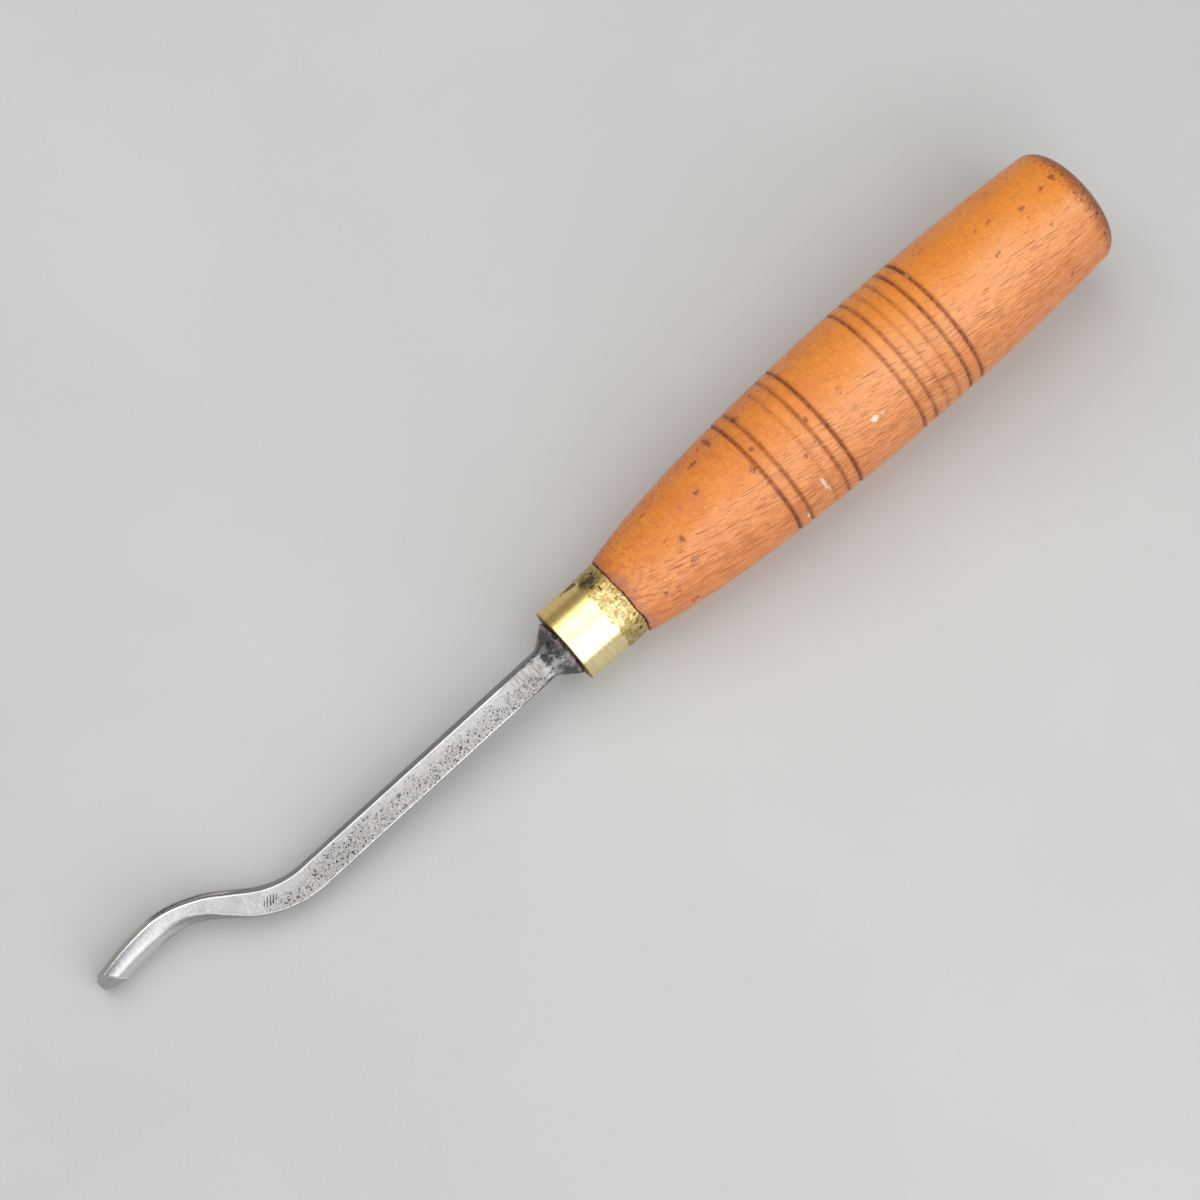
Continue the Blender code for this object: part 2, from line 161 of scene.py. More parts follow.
# %% A short way to wire nodes
class Wiring:
    """Places nodes in one tree and joins them."""

    def __init__(self, tree):
        self.tree = tree

    def add(self, kind, feeds=None, **settings):
        made = self.tree.nodes.new("ShaderNode" + kind)
        for name, value in settings.items():
            setattr(made, name, value)
        self.feed(made, feeds or {})
        return made

    def feed(self, node, feeds):
        """Joins an output to each input that is named, or sets a plain value there."""
        for key, value in feeds.items():
            if isinstance(value, bpy.types.NodeSocket):
                self.tree.links.new(value, node.inputs[key])
            else:
                node.inputs[key].default_value = value

    def math(self, operation, first, second=0.0):
        return self.add("Math", {0: first, 1: second}, operation=operation).outputs[0]

    def in_turn(self, operation, values):
        """One Math node after another, until all values are taken in."""
        total = values[0]
        for value in values[1:]:
            total = self.math(operation, total, value)
        return total

    def times(self, *values):
        return self.in_turn("MULTIPLY", values)

    def plus(self, *values):
        return self.in_turn("ADD", values)

    def most(self, *values):
        return self.in_turn("MAXIMUM", values)

    def minus(self, first, second):
        return self.math("SUBTRACT", first, second)

    def vector(self, operation, first, second=(0.0, 0.0, 0.0)):
        made = self.add("VectorMath", {0: first, 1: second}, operation=operation)
        return made.outputs["Value" if operation in ("DOT_PRODUCT", "LENGTH") else "Vector"]

    def scaled(self, vector, factor):
        return self.add("VectorMath", {0: vector, "Scale": factor}, operation="SCALE").outputs["Vector"]

    def span(self, value, low, high, start=0.0, end=1.0):
        """Goes smoothly from start to end while the value goes from low to high."""
        feeds = {"Value": value, "From Min": low, "From Max": high, "To Min": start, "To Max": end}
        return self.add("MapRange", feeds, interpolation_type="SMOOTHSTEP").outputs["Result"]

    def fade(self, value, start, end):
        """Goes smoothly from start to end while the value goes from 0 to 1."""
        return self.span(value, 0.0, 1.0, start, end)

    def colour(self, share, first, second):
        return self.add("Mix", {0: share, 6: first, 7: second}, data_type="RGBA").outputs[2]

    def layers(self, base, rows):
        """Lays colours over a base. Each row: the colour, then the shares whose product says how much."""
        for tone, *shares in rows:
            base = self.colour(self.times(*shares), base, tone)
        return base

    def value(self, share, first, second):
        return self.add("Mix", {0: share, 2: first, 3: second}, data_type="FLOAT").outputs[0]

    def noise(self, vector, scale, detail=2.0, rough=0.5):
        feeds = {"Vector": vector, "Scale": scale, "Detail": detail, "Roughness": rough}
        return self.add("TexNoise", feeds).outputs

    def split(self, vector):
        return self.add("SeparateXYZ", {0: vector}).outputs

    def effect(self, group, **feeds):
        return self.add("Group", feeds, node_tree=group).outputs


def rgb(red, green, blue):
    return (red, green, blue, 1.0)


def new_effect(name, inputs, outputs):
    """A shader node group with named sockets: the group, its wiring, its inputs and its output node."""
    group = bpy.data.node_groups.new(name, "ShaderNodeTree")
    for way, sockets in (("INPUT", inputs), ("OUTPUT", outputs)):
        for socket, kind in sockets.items():
            group.interface.new_socket(name=socket, in_out=way, socket_type="NodeSocket" + kind)
    given = group.nodes.new("NodeGroupInput").outputs
    print("effect", name, "gives", ", ".join(outputs))
    return group, Wiring(group), given, group.nodes.new("NodeGroupOutput")


# %% [markdown]
# Grain, pits and lathe lines all have a true size, so the patterns need millimetres along the tool. This
# first effect turns a point of the laid down piece back into the tool's own axes. A Mapping node set to
# Texture undoes the same turn and shift that laid the tool down.

# %% Effect: place along the tool
tool_place, wires, given, result = new_effect("tool_place", {}, {"Place": "Vector"})
laid = {
    "Vector": wires.add("TexCoord").outputs["Object"],
    "Location": tool.translation,
    "Rotation": tool.to_euler("XYZ"),
}
undone = wires.add("Mapping", laid, vector_type="TEXTURE").outputs["Vector"]
wires.feed(result, {"Place": wires.vector("DIVIDE", undone, (MM, MM, MM))})

# %% [markdown]
# Tarnish on brass, patina on steel and the colour drift of wood are all soft clouds of some size. One
# noise with a lower and an upper limit makes them: the nearer the limits, the harder the edge of the
# cloud.

# %% Effect: soft cloud
soft_cloud, wires, given, result = new_effect(
    "soft_cloud",
    {"Place": "Vector", "Size": "Float", "Low": "Float", "High": "Float"},
    {"Cloud": "Float"},
)
puffs = wires.noise(given["Place"], wires.math("DIVIDE", 1.0, given["Size"]), 4.0, 0.55)["Fac"]
wires.feed(result, {"Cloud": wires.span(puffs, given["Low"], given["High"])})

# %% [markdown]
# Rust pits, black spots and the ray flecks of beech are all small marks scattered through the material. A
# Voronoi texture gives each cell one seed point. A mark is drawn round some of the seeds, with a ragged
# rim and a size of its own. Stretching the place that goes in turns the dots into dashes.

# %% Effect: scattered marks
scattered_marks, wires, given, result = new_effect(
    "scattered_marks",
    {"Place": "Vector", "Spacing": "Float", "Radius": "Float", "Share": "Float", "Ragged": "Float"},
    {"Mark": "Float", "Tone": "Float"},
)
HALF = (0.5, 0.5, 0.5)
cells_in = wires.scaled(given["Place"], wires.math("DIVIDE", 1.0, given["Spacing"]))
stir = wires.vector("SUBTRACT", wires.noise(cells_in, 3.0)["Color"], HALF)
stirred = wires.vector("ADD", cells_in, wires.scaled(stir, given["Ragged"]))
cells = wires.add("TexVoronoi", {"Vector": stirred, "Scale": 1.0}).outputs
lot, size, tone = wires.split(cells["Color"])
reach = wires.times(given["Radius"], wires.fade(size, 0.35, 1.0))
inside = wires.span(cells["Distance"], reach, wires.times(reach, 0.45))
chosen = wires.math("LESS_THAN", lot, given["Share"])
wires.feed(result, {"Mark": wires.times(inside, chosen), "Tone": tone})

# %% [markdown]
# A lathe leaves lines round the brass, a grinding wheel leaves lines on the steel, and wood has fine
# pores along its grain. All three are one noise that is stretched a great deal in one direction. Run says
# how many lines there are per millimetre along each axis.

# %% Effect: drawn lines
drawn_lines, wires, given, result = new_effect(
    "drawn_lines",
    {"Place": "Vector", "Run": "Vector", "Low": "Float", "High": "Float"},
    {"Line": "Float"},
)
strands = wires.noise(wires.vector("MULTIPLY", given["Place"], given["Run"]), 1.0, 3.0, 0.6)["Fac"]
wires.feed(result, {"Line": wires.span(strands, given["Low"], given["High"])})

# %% [markdown]
# A drip of paint or one black stain sits in one known place. This effect measures how far a point is from
# a centre, in shares of the mark's half sizes, and roughens the rim with noise.

# %% Effect: single mark
single_mark, wires, given, result = new_effect(
    "single_mark",
    {"Place": "Vector", "Centre": "Vector", "Reach": "Vector", "Ragged": "Float"},
    {"Mark": "Float"},
)
offset = wires.vector("DIVIDE", wires.vector("SUBTRACT", given["Place"], given["Centre"]), given["Reach"])
rim = wires.minus(wires.noise(given["Place"], 2.2, 3.0)["Fac"], 0.5)
distance = wires.plus(wires.vector("LENGTH", offset), wires.times(rim, given["Ragged"]))
wires.feed(result, {"Mark": wires.span(distance, 1.0, 0.72)})

# %% [markdown]
# Each finish is one material with its own shader, and it draws on the five effects above. This helper
# starts such a material with the place along the tool at hand, and gives every effect a short call.
# Each finish calls it w, for wiring.

# %% A short way to write finishes
class Finish(Wiring):
    """The wiring of one material."""

    def __init__(self, name):
        self.material = bpy.data.materials.new(name)
        self.material.use_nodes = True
        super().__init__(self.material.node_tree)
        self.place = self.effect(tool_place)["Place"]

    def cloud(self, size, low, high, place=None):
        place = self.place if place is None else place
        return self.effect(soft_cloud, Place=place, Size=size, Low=low, High=high)["Cloud"]

    def lines(self, run, low, high, place=None):
        place = self.place if place is None else place
        return self.effect(drawn_lines, Place=place, Run=run, Low=low, High=high)["Line"]

    def marks(self, spacing, radius, share, ragged, place=None):
        feeds = {"Spacing": spacing, "Radius": radius, "Share": share, "Ragged": ragged}
        return self.effect(scattered_marks, Place=self.place if place is None else place, **feeds)

    def mark_at(self, centre, reach, ragged):
        return self.effect(single_mark, Place=self.place, Centre=centre, Reach=reach, Ragged=ragged)["Mark"]

    def aim(self):
        """The direction straight out from the handle's axis."""
        return self.vector("NORMALIZE", self.vector("MULTIPLY", self.place, (0.0, 1.0, 1.0)))

    def painted(self, name):
        """A value that the mesh code has stored at each of its points."""
        return self.add("Attribute", attribute_name=name).outputs["Fac"]

    def bump(self, height, strength, distance):
        feeds = {"Height": height, "Strength": strength, "Distance": distance}
        return self.add("Bump", feeds).outputs["Normal"]

    def dress(self, feeds):
        """Feeds the material's shader."""
        self.feed(self.tree.nodes["Principled BSDF"], feeds)
        print(self.material.name, "has", len(self.tree.nodes), "nodes")


# %% [markdown]
# The bench is a plain, pale grey sheet. It only has to catch the soft shadow, so it is one large grid
# with a faint cloud in its colour and a fine tooth.

# %% The bench
BENCH_SIZE = 6.0
BENCH_GREY = (0.57, 0.57, 0.56)
BENCH_DRIFT = 1.04

w = Finish("bench_grey")
paler = rgb(*(channel * BENCH_DRIFT for channel in BENCH_GREY))
w.dress({
    "Base Color": w.colour(w.cloud(60.0, 0.3, 0.7), rgb(*BENCH_GREY), paler),
    "Normal": w.bump(w.cloud(0.7, 0.3, 0.7), 0.15, 0.1 * MM),
    "Roughness": 0.85,
})

bench_mesh = bmesh.new()
bmesh.ops.create_grid(bench_mesh, x_segments=8, y_segments=8, size=BENCH_SIZE / 2)
bench_data = bpy.data.meshes.new("bench")
bench_mesh.to_mesh(bench_data)
bench_mesh.free()
bench_data.materials.append(w.material)
bench = in_scene("bench", bench_data)

# %% [markdown]
# Both the turned pieces and the blade are rows of rings. A turned piece has one ring for each step along
# its outline, and the blade has one for each step along its bent spine. This helper skins such rings into
# one closed mesh, stores values at its points for the materials to read, and hands the piece to the
# frame.

# %% Skin rings into a piece
def skinned(name, rings, values, material, node, closed_loop=False, sharp_angle=40.0):
    """Makes a piece from an array of (ring, point, xyz) in millimetres along the tool.

    values holds arrays of one number for each point.
    """
    count, around = rings.shape[:2]
    mesh_data = bmesh.new()
    points = [mesh_data.verts.new(tool @ Vector(point * MM)) for point in rings.reshape(-1, 3)]
    loops = [points[i * around:(i + 1) * around] for i in range(count)]
    pairs = list(zip(loops, loops[1:]))
    if closed_loop:
        pairs.append((loops[-1], loops[0]))
    else:
        mesh_data.faces.new(loops[0])
        mesh_data.faces.new(loops[-1])
    for near, far in pairs:
        for i in range(around):
            j = (i + 1) % around
            mesh_data.faces.new((near[i], near[j], far[j], far[i]))
    bmesh.ops.recalc_face_normals(mesh_data, faces=mesh_data.faces)
    mesh = bpy.data.meshes.new(name)
    mesh_data.to_mesh(mesh)
    mesh_data.free()
    for label, numbers in values.items():
        stored = mesh.attributes.new(label, "FLOAT", "POINT")
        stored.data.foreach_set("value", np.asarray(numbers, np.float32).ravel())
    mesh.shade_smooth()
    mesh.set_sharp_from_angle(angle=math.radians(sharp_angle))
    mesh.materials.append(material)
    piece = in_scene(name, mesh)
    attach(piece, "root")
    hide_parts(node)
    print(name, "has", len(mesh.vertices), "points and", len(mesh.polygons), "faces")


# %% [markdown]
# The handle was turned from beech and has been knocked about for years. Its swell is two smooth curves,
# as in the CAD source. Two groups of six grooves were cut by eye, so their depth changes from ring to
# ring and a little on the way round. The worst knocks are real dents in the mesh, and the same list
# darkens the wood there.

# %% The outline of the handle
ROUND_SEGMENTS = 192
FIT_GAP = 0.3
FERRULE_LENGTH = 14.4
FERRULE_FRONT_RADIUS = 8.1
FERRULE_REAR_RADIUS = 8.25
FERRULE_WALL = 1.0
# Each of the three: place along the handle and radius there.
SHOULDER = (FERRULE_LENGTH + FIT_GAP, 8.6)
BELLY = (84.0, 14.25)
BUTT_START = (127.0, 12.65)
SHOULDER_REACH = 14.0
SHOULDER_RISE = 0.27
BELLY_REACH_FORWARD = 25.0
BELLY_REACH_BACK = 18.0
BUTT_REACH = 10.0
BUTT_FALL = 0.09
BUTT_FACE_RADIUS = 6.1


def bezier(first, first_arm, last_arm, last, shares):
    keep = 1.0 - shares
    weights = (keep**3, 3 * keep**2 * shares, 3 * keep * shares**2, shares**3)
    points = (first, first_arm, last_arm, last)
    return [sum(weight * point[k] for weight, point in zip(weights, points)) for k in range(2)]


shares = np.linspace(0.0, 1.0, 201)
shoulder_arm = (SHOULDER[0] + SHOULDER_REACH, SHOULDER[1] + SHOULDER_REACH * SHOULDER_RISE)
butt_arm = (BUTT_START[0] - BUTT_REACH, BUTT_START[1] + BUTT_REACH * BUTT_FALL)
front_swell = bezier(SHOULDER, shoulder_arm, (BELLY[0] - BELLY_REACH_FORWARD, BELLY[1]), BELLY, shares)
rear_swell = bezier(BELLY, (BELLY[0] + BELLY_REACH_BACK, BELLY[1]), butt_arm, BUTT_START, shares[1:])
swell_x, swell_radius = (np.concatenate(pair) for pair in zip(front_swell, rear_swell))
print("the belly is", round(2 * swell_radius.max(), 3), "mm across")

# %% The places of the rings
GROOVE_PITCH = 2.94
GROOVE_HALF_WIDTH = 0.5
GROOVE_DEPTH = 0.34
# Each row: where a group of grooves starts, and how deep each one is cut.
GROOVE_GROUPS = ((48.3, (1.0, 0.8, 0.04, 0.28, 0.75, 1.0)), (79.0, (0.85, 0.75, 0.35, 0.5, 0.9, 1.0)))
GROOVES = [(start + i * GROOVE_PITCH, cut) for start, cuts in GROOVE_GROUPS for i, cut in enumerate(cuts)]
RING_PITCH = 0.52
SHOULDER_RINGS = (0.08, 0.18, 0.3)
GROOVE_CLEAR = 0.75
GROOVE_RINGS = np.linspace(-0.7, 0.7, 13)

places = list(np.arange(SHOULDER[0], BUTT_START[0], RING_PITCH))
places += [SHOULDER[0] + step for step in SHOULDER_RINGS]
for groove, _ in GROOVES:
    places = [x for x in places if abs(x - groove) > GROOVE_CLEAR]
    places += list(groove + GROOVE_RINGS)
places = np.array(sorted(places))
print("the swell has", len(places), "rings")

# %% Knocks in the wood
# Each row: place along the handle, turn round it in degrees, half length, half width, darkness, depth.
KNOCKS = (
    (29.0, 12.0, 0.75, 0.95, 0.85, 0.16),
    (28.6, -12.0, 1.1, 0.9, 0.5, 0.08),
    (27.3, 3.0, 0.4, 0.35, 0.6, 0.05),
    (26.4, 20.5, 0.7, 0.45, 0.5, 0.06),
    (25.9, 14.5, 0.5, 0.3, 0.4, 0.0),
    (36.8, 34.0, 0.8, 0.6, 0.6, 0.1),
    (32.6, 35.0, 0.6, 0.7, 0.3, 0.0),
    (45.0, 69.0, 0.7, 1.7, 1.0, 0.2),
    (40.0, 60.0, 1.1, 0.7, 0.7, 0.08),
    (27.0, 61.0, 1.3, 0.5, 0.4, 0.0),
    (26.0, 79.0, 0.6, 0.8, 0.6, 0.05),
    (41.5, 71.0, 0.4, 0.35, 0.6, 0.0),
    (47.2, 15.0, 0.8, 0.9, 0.55, 0.1),
    (49.7, 28.5, 0.5, 0.7, 0.7, 0.1),
    (51.7, 28.0, 0.45, 0.45, 0.8, 0.08),
    (51.6, 65.0, 0.9, 1.2, 0.7, 0.1),
    (57.0, 74.0, 0.5, 0.7, 0.6, 0.0),
    (61.0, 16.0, 0.6, 0.7, 0.6, 0.08),
    (69.4, 17.0, 0.75, 0.8, 0.55, 0.1),
    (68.8, 13.0, 0.5, 0.6, 0.4, 0.05),
    (56.3, -5.0, 0.5, 0.6, 0.6, 0.08),
    (58.6, -14.0, 0.35, 0.35, 0.6, 0.0),
    (20.5, -23.0, 0.5, 0.6, 0.65, 0.05),
    (22.8, -28.0, 0.42, 1.1, 0.75, 0.06),
    (31.7, -24.0, 0.5, 0.5, 0.5, 0.05),
    (43.1, -32.0, 0.5, 0.7, 0.55, 0.08),
    (24.2, -58.0, 1.2, 0.7, 0.6, 0.0),
    (70.4, -7.0, 0.8, 0.35, 0.4, 0.0),
    (97.9, 65.0, 0.4, 0.6, 0.75, 0.05),
    (111.7, 40.0, 0.6, 0.35, 0.8, 0.05),
    (108.6, 40.5, 0.5, 0.3, 0.6, 0.0),
    (118.0, 30.0, 0.8, 0.6, 0.5, 0.08),
    (123.5, 33.0, 0.8, 0.7, 0.55, 0.08),
    (126.5, 35.0, 0.6, 0.7, 1.0, 0.15),
    (117.9, 20.5, 0.35, 0.4, 0.5, 0.0),
    (108.5, 14.0, 1.0, 0.45, 0.5, 0.06),
    (120.1, 3.0, 0.38, 0.6, 0.9, 0.08),
    (123.6, 4.5, 0.45, 0.25, 0.6, 0.0),
    (118.3, -46.0, 0.8, 0.6, 0.6, 0.05),
    (113.0, -45.0, 0.6, 0.4, 0.4, 0.0),
    (110.0, -9.0, 0.4, 0.4, 0.4, 0.0),
)
# The knocks of the far side are drawn by lot, each of the six numbers between two limits.
FAR_KNOCKS = 46
FAR_LIMITS = ((18.0, 125.0), (88.0, 275.0), (0.35, 1.1), (0.35, 1.0), (0.35, 0.85), (0.0, 0.16))
dice = np.random.default_rng(7)
far_knocks = [[dice.uniform(*limits) for limits in FAR_LIMITS] for _ in range(FAR_KNOCKS)]


def knocked(x, turn, radius):
    """Darkness and depth of all knocks at arrays of points on the handle."""
    dark = np.zeros_like(x)
    depth = np.zeros_like(x)
    for place, degrees, half_length, half_width, darkness, sunk in (*KNOCKS, *far_knocks):
        off = turn - math.radians(degrees)
        off = (off + math.pi) % (2 * math.pi) - math.pi
        spot = np.exp(-(((x - place) / half_length) ** 2) - (off * radius / half_width) ** 2)
        dark = np.maximum(dark, darkness * spot)
        depth = np.maximum(depth, sunk * spot)
    return dark, depth


print(len(KNOCKS), "knocks are seen in the photograph and", FAR_KNOCKS, "more are on the far side")

# %% [markdown]
# The mesh runs from the bottom of the square tang bore, out through the tenon, over the shoulder and
# along the swell to the butt, so it is one closed skin that the tang stands in with a gap. A square ring
# is only a round one with a radius that changes with the turn. Hand work is never quite even, so slow
# waves run round the rings.

# %% Rings and waves
turns = np.linspace(0.0, 2 * math.pi, ROUND_SEGMENTS, endpoint=False)


def waves(seed, count=9):
    """An uneven line round a piece, about -1 to 1, that meets itself after a full turn."""
    lot = np.random.default_rng(seed)
    total = np.zeros_like(turns)
    for k in range(1, count + 1):
        total += lot.normal() / k**0.6 * np.cos(k * turns + lot.uniform(0.0, 2 * math.pi))
    return total / max(1e-9, np.abs(total).max())


def ring_at(x, radius):
    """Points of one ring, from +Z round by +Y. Both x and radius may change with the turn."""
    x = np.broadcast_to(x, turns.shape)
    radius = np.broadcast_to(radius, turns.shape)
    return np.stack([x, radius * np.sin(turns), radius * np.cos(turns)], axis=-1)


print("each ring has", ROUND_SEGMENTS, "points")

# %% The bore and the grooves
TANG_ROOT_HALF = 2.8
TANG_TIP_HALF = 1.2
TANG_LENGTH = 58.0
BORE_DEPTH = 59.5
# The dirt in the grooves is faintest round this turn and darkest opposite it.
FAINTEST_GROOVE_TURN = math.radians(12.0)
GROOVE_UNEVEN = 0.2
GROOVE_ROUNDING = 1.3
DIRT_MIDDLE = 0.92
DIRT_SWING = 0.24
# Each row: how dark a line of dirt is and how wide it is, in half widths of the groove.
GROOVE_DIRT = ((0.62, 1.15), (0.62, 0.6))
groove_dirt_by_turn = DIRT_MIDDLE - DIRT_SWING * np.cos(turns - FAINTEST_GROOVE_TURN)


def bore_ring(x):
    slope = (TANG_ROOT_HALF - TANG_TIP_HALF) / (TANG_LENGTH + FIT_GAP)
    half = TANG_ROOT_HALF - slope * (x + FIT_GAP) + FIT_GAP
    return ring_at(x, half / np.maximum(np.abs(np.sin(turns)), np.abs(np.cos(turns))))


def groove_at(x):
    """Depth of the cut at each turn of one ring, in shares of the full depth, and the dirt in it."""
    cut_depth = np.zeros_like(turns)
    dirt = np.zeros_like(turns)
    for i, (groove, cut) in enumerate(GROOVES):
        off = (x - groove) / GROOVE_HALF_WIDTH
        if abs(off) > 2.0:
            continue
        share = cut * (1.0 + GROOVE_UNEVEN * waves(40 + i))
        cut_depth += share * max(0.0, 1.0 - off * off) ** GROOVE_ROUNDING
        line = sum(dark * math.exp(-((off / wide) ** 2)) for dark, wide in GROOVE_DIRT)
        dirt += np.clip(share * groove_dirt_by_turn, 0.0, 1.1) * line
    return cut_depth, dirt


print("the bore ends", BORE_DEPTH, "mm in, and there are", len(GROOVES), "grooves")

# %% The rings of the handle
TENON_RADIUS = FERRULE_FRONT_RADIUS - FERRULE_WALL - FIT_GAP
TENON_EDGE = 0.3
SEAM_RADIUS = 8.2
SEAM_GAP = 0.05
SEAM_EASE = 0.45
SEAM_DIRT = 0.5
SEAM_FOLLOWS = 3.0
SKIN_INSET = 0.03
# Middle and swing of two uneven edges, then the swings and the ripple of the turned skin.
FERRULE_WAVE = (-0.12, 0.28)
SHOULDER_CHIPS = (0.08, 0.07)
SWELL_SWING = 0.02
BUTT_SWING = 0.03
RIPPLE = 0.012
RIPPLE_RATE = 0.9
# How far behind the shoulder the knocks begin.
KNOCK_CLEAR = 0.05
BUTT_STEPS = np.linspace(0.04, 0.5, 24) * math.pi
BUTT_FACE_RINGS = (4.5, 2.8, 1.2)
ferrule_wave = FERRULE_WAVE[0] + FERRULE_WAVE[1] * waves(12, 14)


def handle_rings():
    rings, groove_dirt, seam_dirt = [], [], []

    def put(ring, dirt=0.0, seam=0.0):
        rings.append(ring)
        groove_dirt.append(np.broadcast_to(dirt, turns.shape))
        seam_dirt.append(np.broadcast_to(seam, turns.shape))

    put(bore_ring(BORE_DEPTH))
    put(bore_ring(0.0))
    put(ring_at(0.0, TENON_RADIUS - TENON_EDGE))
    put(ring_at(TENON_EDGE, TENON_RADIUS))
    follow = ferrule_wave - FIT_GAP + SEAM_GAP * (1.0 + waves(31, 20))
    put(ring_at(SHOULDER[0] + follow, TENON_RADIUS), 0.0, 1.0)
    put(ring_at(SHOULDER[0] + follow, SEAM_RADIUS), 0.0, 1.0)
    chips = SHOULDER_CHIPS[0] + SHOULDER_CHIPS[1] * waves(21, 24)
    uneven = SWELL_SWING * waves(3)
    for x in places:
        radius = np.interp(x, swell_x, swell_radius)
        past = x - SHOULDER[0]
        ease = max(0.0, 1.0 - past / SEAM_EASE) ** 2
        seam = max(0.0, 1.0 - past / SEAM_DIRT)
        cut_depth, dirt = groove_at(x)
        hand = uneven + RIPPLE * math.sin(RIPPLE_RATE * x)
        wavy = x + follow * max(0.0, 1.0 - past / SEAM_FOLLOWS)
        put(ring_at(wavy, radius - ease * chips - GROOVE_DEPTH * cut_depth - SKIN_INSET + hand), dirt, seam)
    for step in BUTT_STEPS:
        x = BUTT_START[0] + (HANDLE_LENGTH - BUTT_START[0]) * math.sin(step)
        radius = BUTT_START[1] - (BUTT_START[1] - BUTT_FACE_RADIUS) * (1.0 - math.cos(step))
        put(ring_at(x, radius - SKIN_INSET + BUTT_SWING * waves(5)))
    for radius in BUTT_FACE_RINGS:
        put(ring_at(HANDLE_LENGTH, radius))
    return np.array(rings), np.array(groove_dirt), np.array(seam_dirt)


handle_points, groove_dirt, seam_dirt = handle_rings()
point_radius = np.hypot(handle_points[..., 1], handle_points[..., 2])
point_turn = np.arctan2(handle_points[..., 1], handle_points[..., 2])
knock_dark, knock_depth = knocked(handle_points[..., 0], point_turn, point_radius)
outside = handle_points[..., 0] > SHOULDER[0] + KNOCK_CLEAR
sink = np.where(outside, 1.0 - knock_depth / np.maximum(point_radius, 1.0), 1.0)
handle_points[..., 1:] *= sink[..., None]
print("handle rings:", handle_points.shape, "deepest knock", round(float(knock_depth.max()), 3), "mm")

# %% [markdown]
# Beech shows its rays: thin upright sheets of cells. Cut along their ends they are short dark dashes,
# drawn here as flat, stretched marks in space, and cut along their faces they are flakes that run across
# the grain, drawn as lines on the golden sides. Over that lie pores, streaks, two small curls in the
# grain, dirt in the grooves, bruises, the dark end grain of the butt and a few drips of old paint, all
# under a worn orange varnish. Pale streaks and a paler rear half are the varnish's sheen, painted into
# the colour.

# %% The beech's colours and known marks
# Turns round the handle: where the rays stand, which side is the low one, and where the wood is golden.
RAY_TURN = math.radians(-40.0)
LOW_TURN = math.radians(-55.0)
GOLD_TURN = math.radians(52.0)
GRAIN_SLANT = math.radians(8.0)
RAY_SIZE = (6.0, 0.17, 9.0)
SMALL_RAY_SIZE = (3.2, 0.14, 6.0)
BEECH_PINK = rgb(0.92, 0.355, 0.115)
# Pale pink of the painted sheen on the varnish.
BEECH_SHEEN_PALE = rgb(0.98, 0.52, 0.24)
BEECH_GOLD = rgb(0.94, 0.32, 0.028)
BEECH_DEEP = rgb(0.60, 0.155, 0.032)
BEECH_BLUSH = rgb(0.72, 0.19, 0.05)
BEECH_BROWN = rgb(0.46, 0.125, 0.034)
FLECK_BROWN = rgb(0.19, 0.046, 0.016)
GROOVE_BROWN = rgb(0.16, 0.034, 0.013)
# Dark colour of the joint, also laid on the tenon's end as dark end grain and painted shade.
SEAM_BROWN = rgb(0.13, 0.045, 0.024)
BRUISE_BROWN = rgb(0.19, 0.062, 0.038)
STAIN_MAUVE = rgb(0.40, 0.18, 0.125)
END_GRAIN = rgb(0.27, 0.075, 0.026)
END_SPECK = rgb(0.07, 0.026, 0.018)
OLD_PAINT = rgb(0.78, 0.75, 0.62)
# Each row: place along the handle, turn, radius there, inner and outer reach of the arcs, their spacing.
CURLS = ((110.6, 43.0, 13.6, 0.5, 3.3, 0.8), (13.5, 34.0, 9.4, 2.8, 8.0, 1.25))
# Each row: place along the handle, turn, radius there, half sizes and how much of it is left.
PAINT_DRIPS = (
    (70.8, -19.0, 14.0, (0.95, 0.62, 4.0), 1.0),
    (72.7, -20.0, 14.05, (0.6, 0.3, 4.0), 0.6),
    (56.1, -35.0, 13.5, (0.42, 1.4, 4.0), 0.75),
    (56.5, -43.0, 13.5, (0.34, 0.8, 4.0), 0.5),
    (50.6, -57.0, 13.2, (0.34, 0.5, 4.0), 0.7),
    (93.7, 52.0, 13.9, (0.3, 0.5, 4.0), 0.5),
)


def outward(turn):
    """The direction straight out from the handle's axis at one turn round it."""
    return Vector((0.0, math.sin(turn), math.cos(turn)))


def on_handle(place, degrees, radius):
    return Vector((place, 0.0, 0.0)) + radius * outward(math.radians(degrees))


ray_side = outward(RAY_TURN + 0.5 * math.pi)
grain_run = math.cos(GRAIN_SLANT) * Vector((1.0, 0.0, 0.0)) - math.sin(GRAIN_SLANT) * ray_side
ray_through = math.sin(GRAIN_SLANT) * Vector((1.0, 0.0, 0.0)) + math.cos(GRAIN_SLANT) * ray_side
print("the grain runs along", rounded(grain_run, 3))

# %% The beech's patterns
w = Finish("varnished_beech")
x = w.split(w.place)[0]
axes = [w.vector("DOT_PRODUCT", w.place, axis) for axis in (grain_run, ray_through, outward(RAY_TURN))]
straight = w.add("CombineXYZ", dict(enumerate(axes))).outputs[0]
sway = w.vector("SUBTRACT", w.noise(w.place, 0.06, 1.0)["Color"], HALF)
grain = w.vector("ADD", straight, w.vector("MULTIPLY", sway, (0.0, 1.8, 1.8)))
other_grain = w.vector("ADD", grain, (31.0, 17.0, 5.0))

aim = w.aim()
bend_side = w.split(aim)[1]
low_side = w.vector("DOT_PRODUCT", aim, outward(LOW_TURN))
drift = w.cloud(14.0, 0.3, 0.72)
facing = w.math("ABSOLUTE", w.vector("DOT_PRODUCT", aim, outward(GOLD_TURN)))
gold = w.span(w.plus(facing, w.times(drift, 0.14)), 0.7, 1.06)

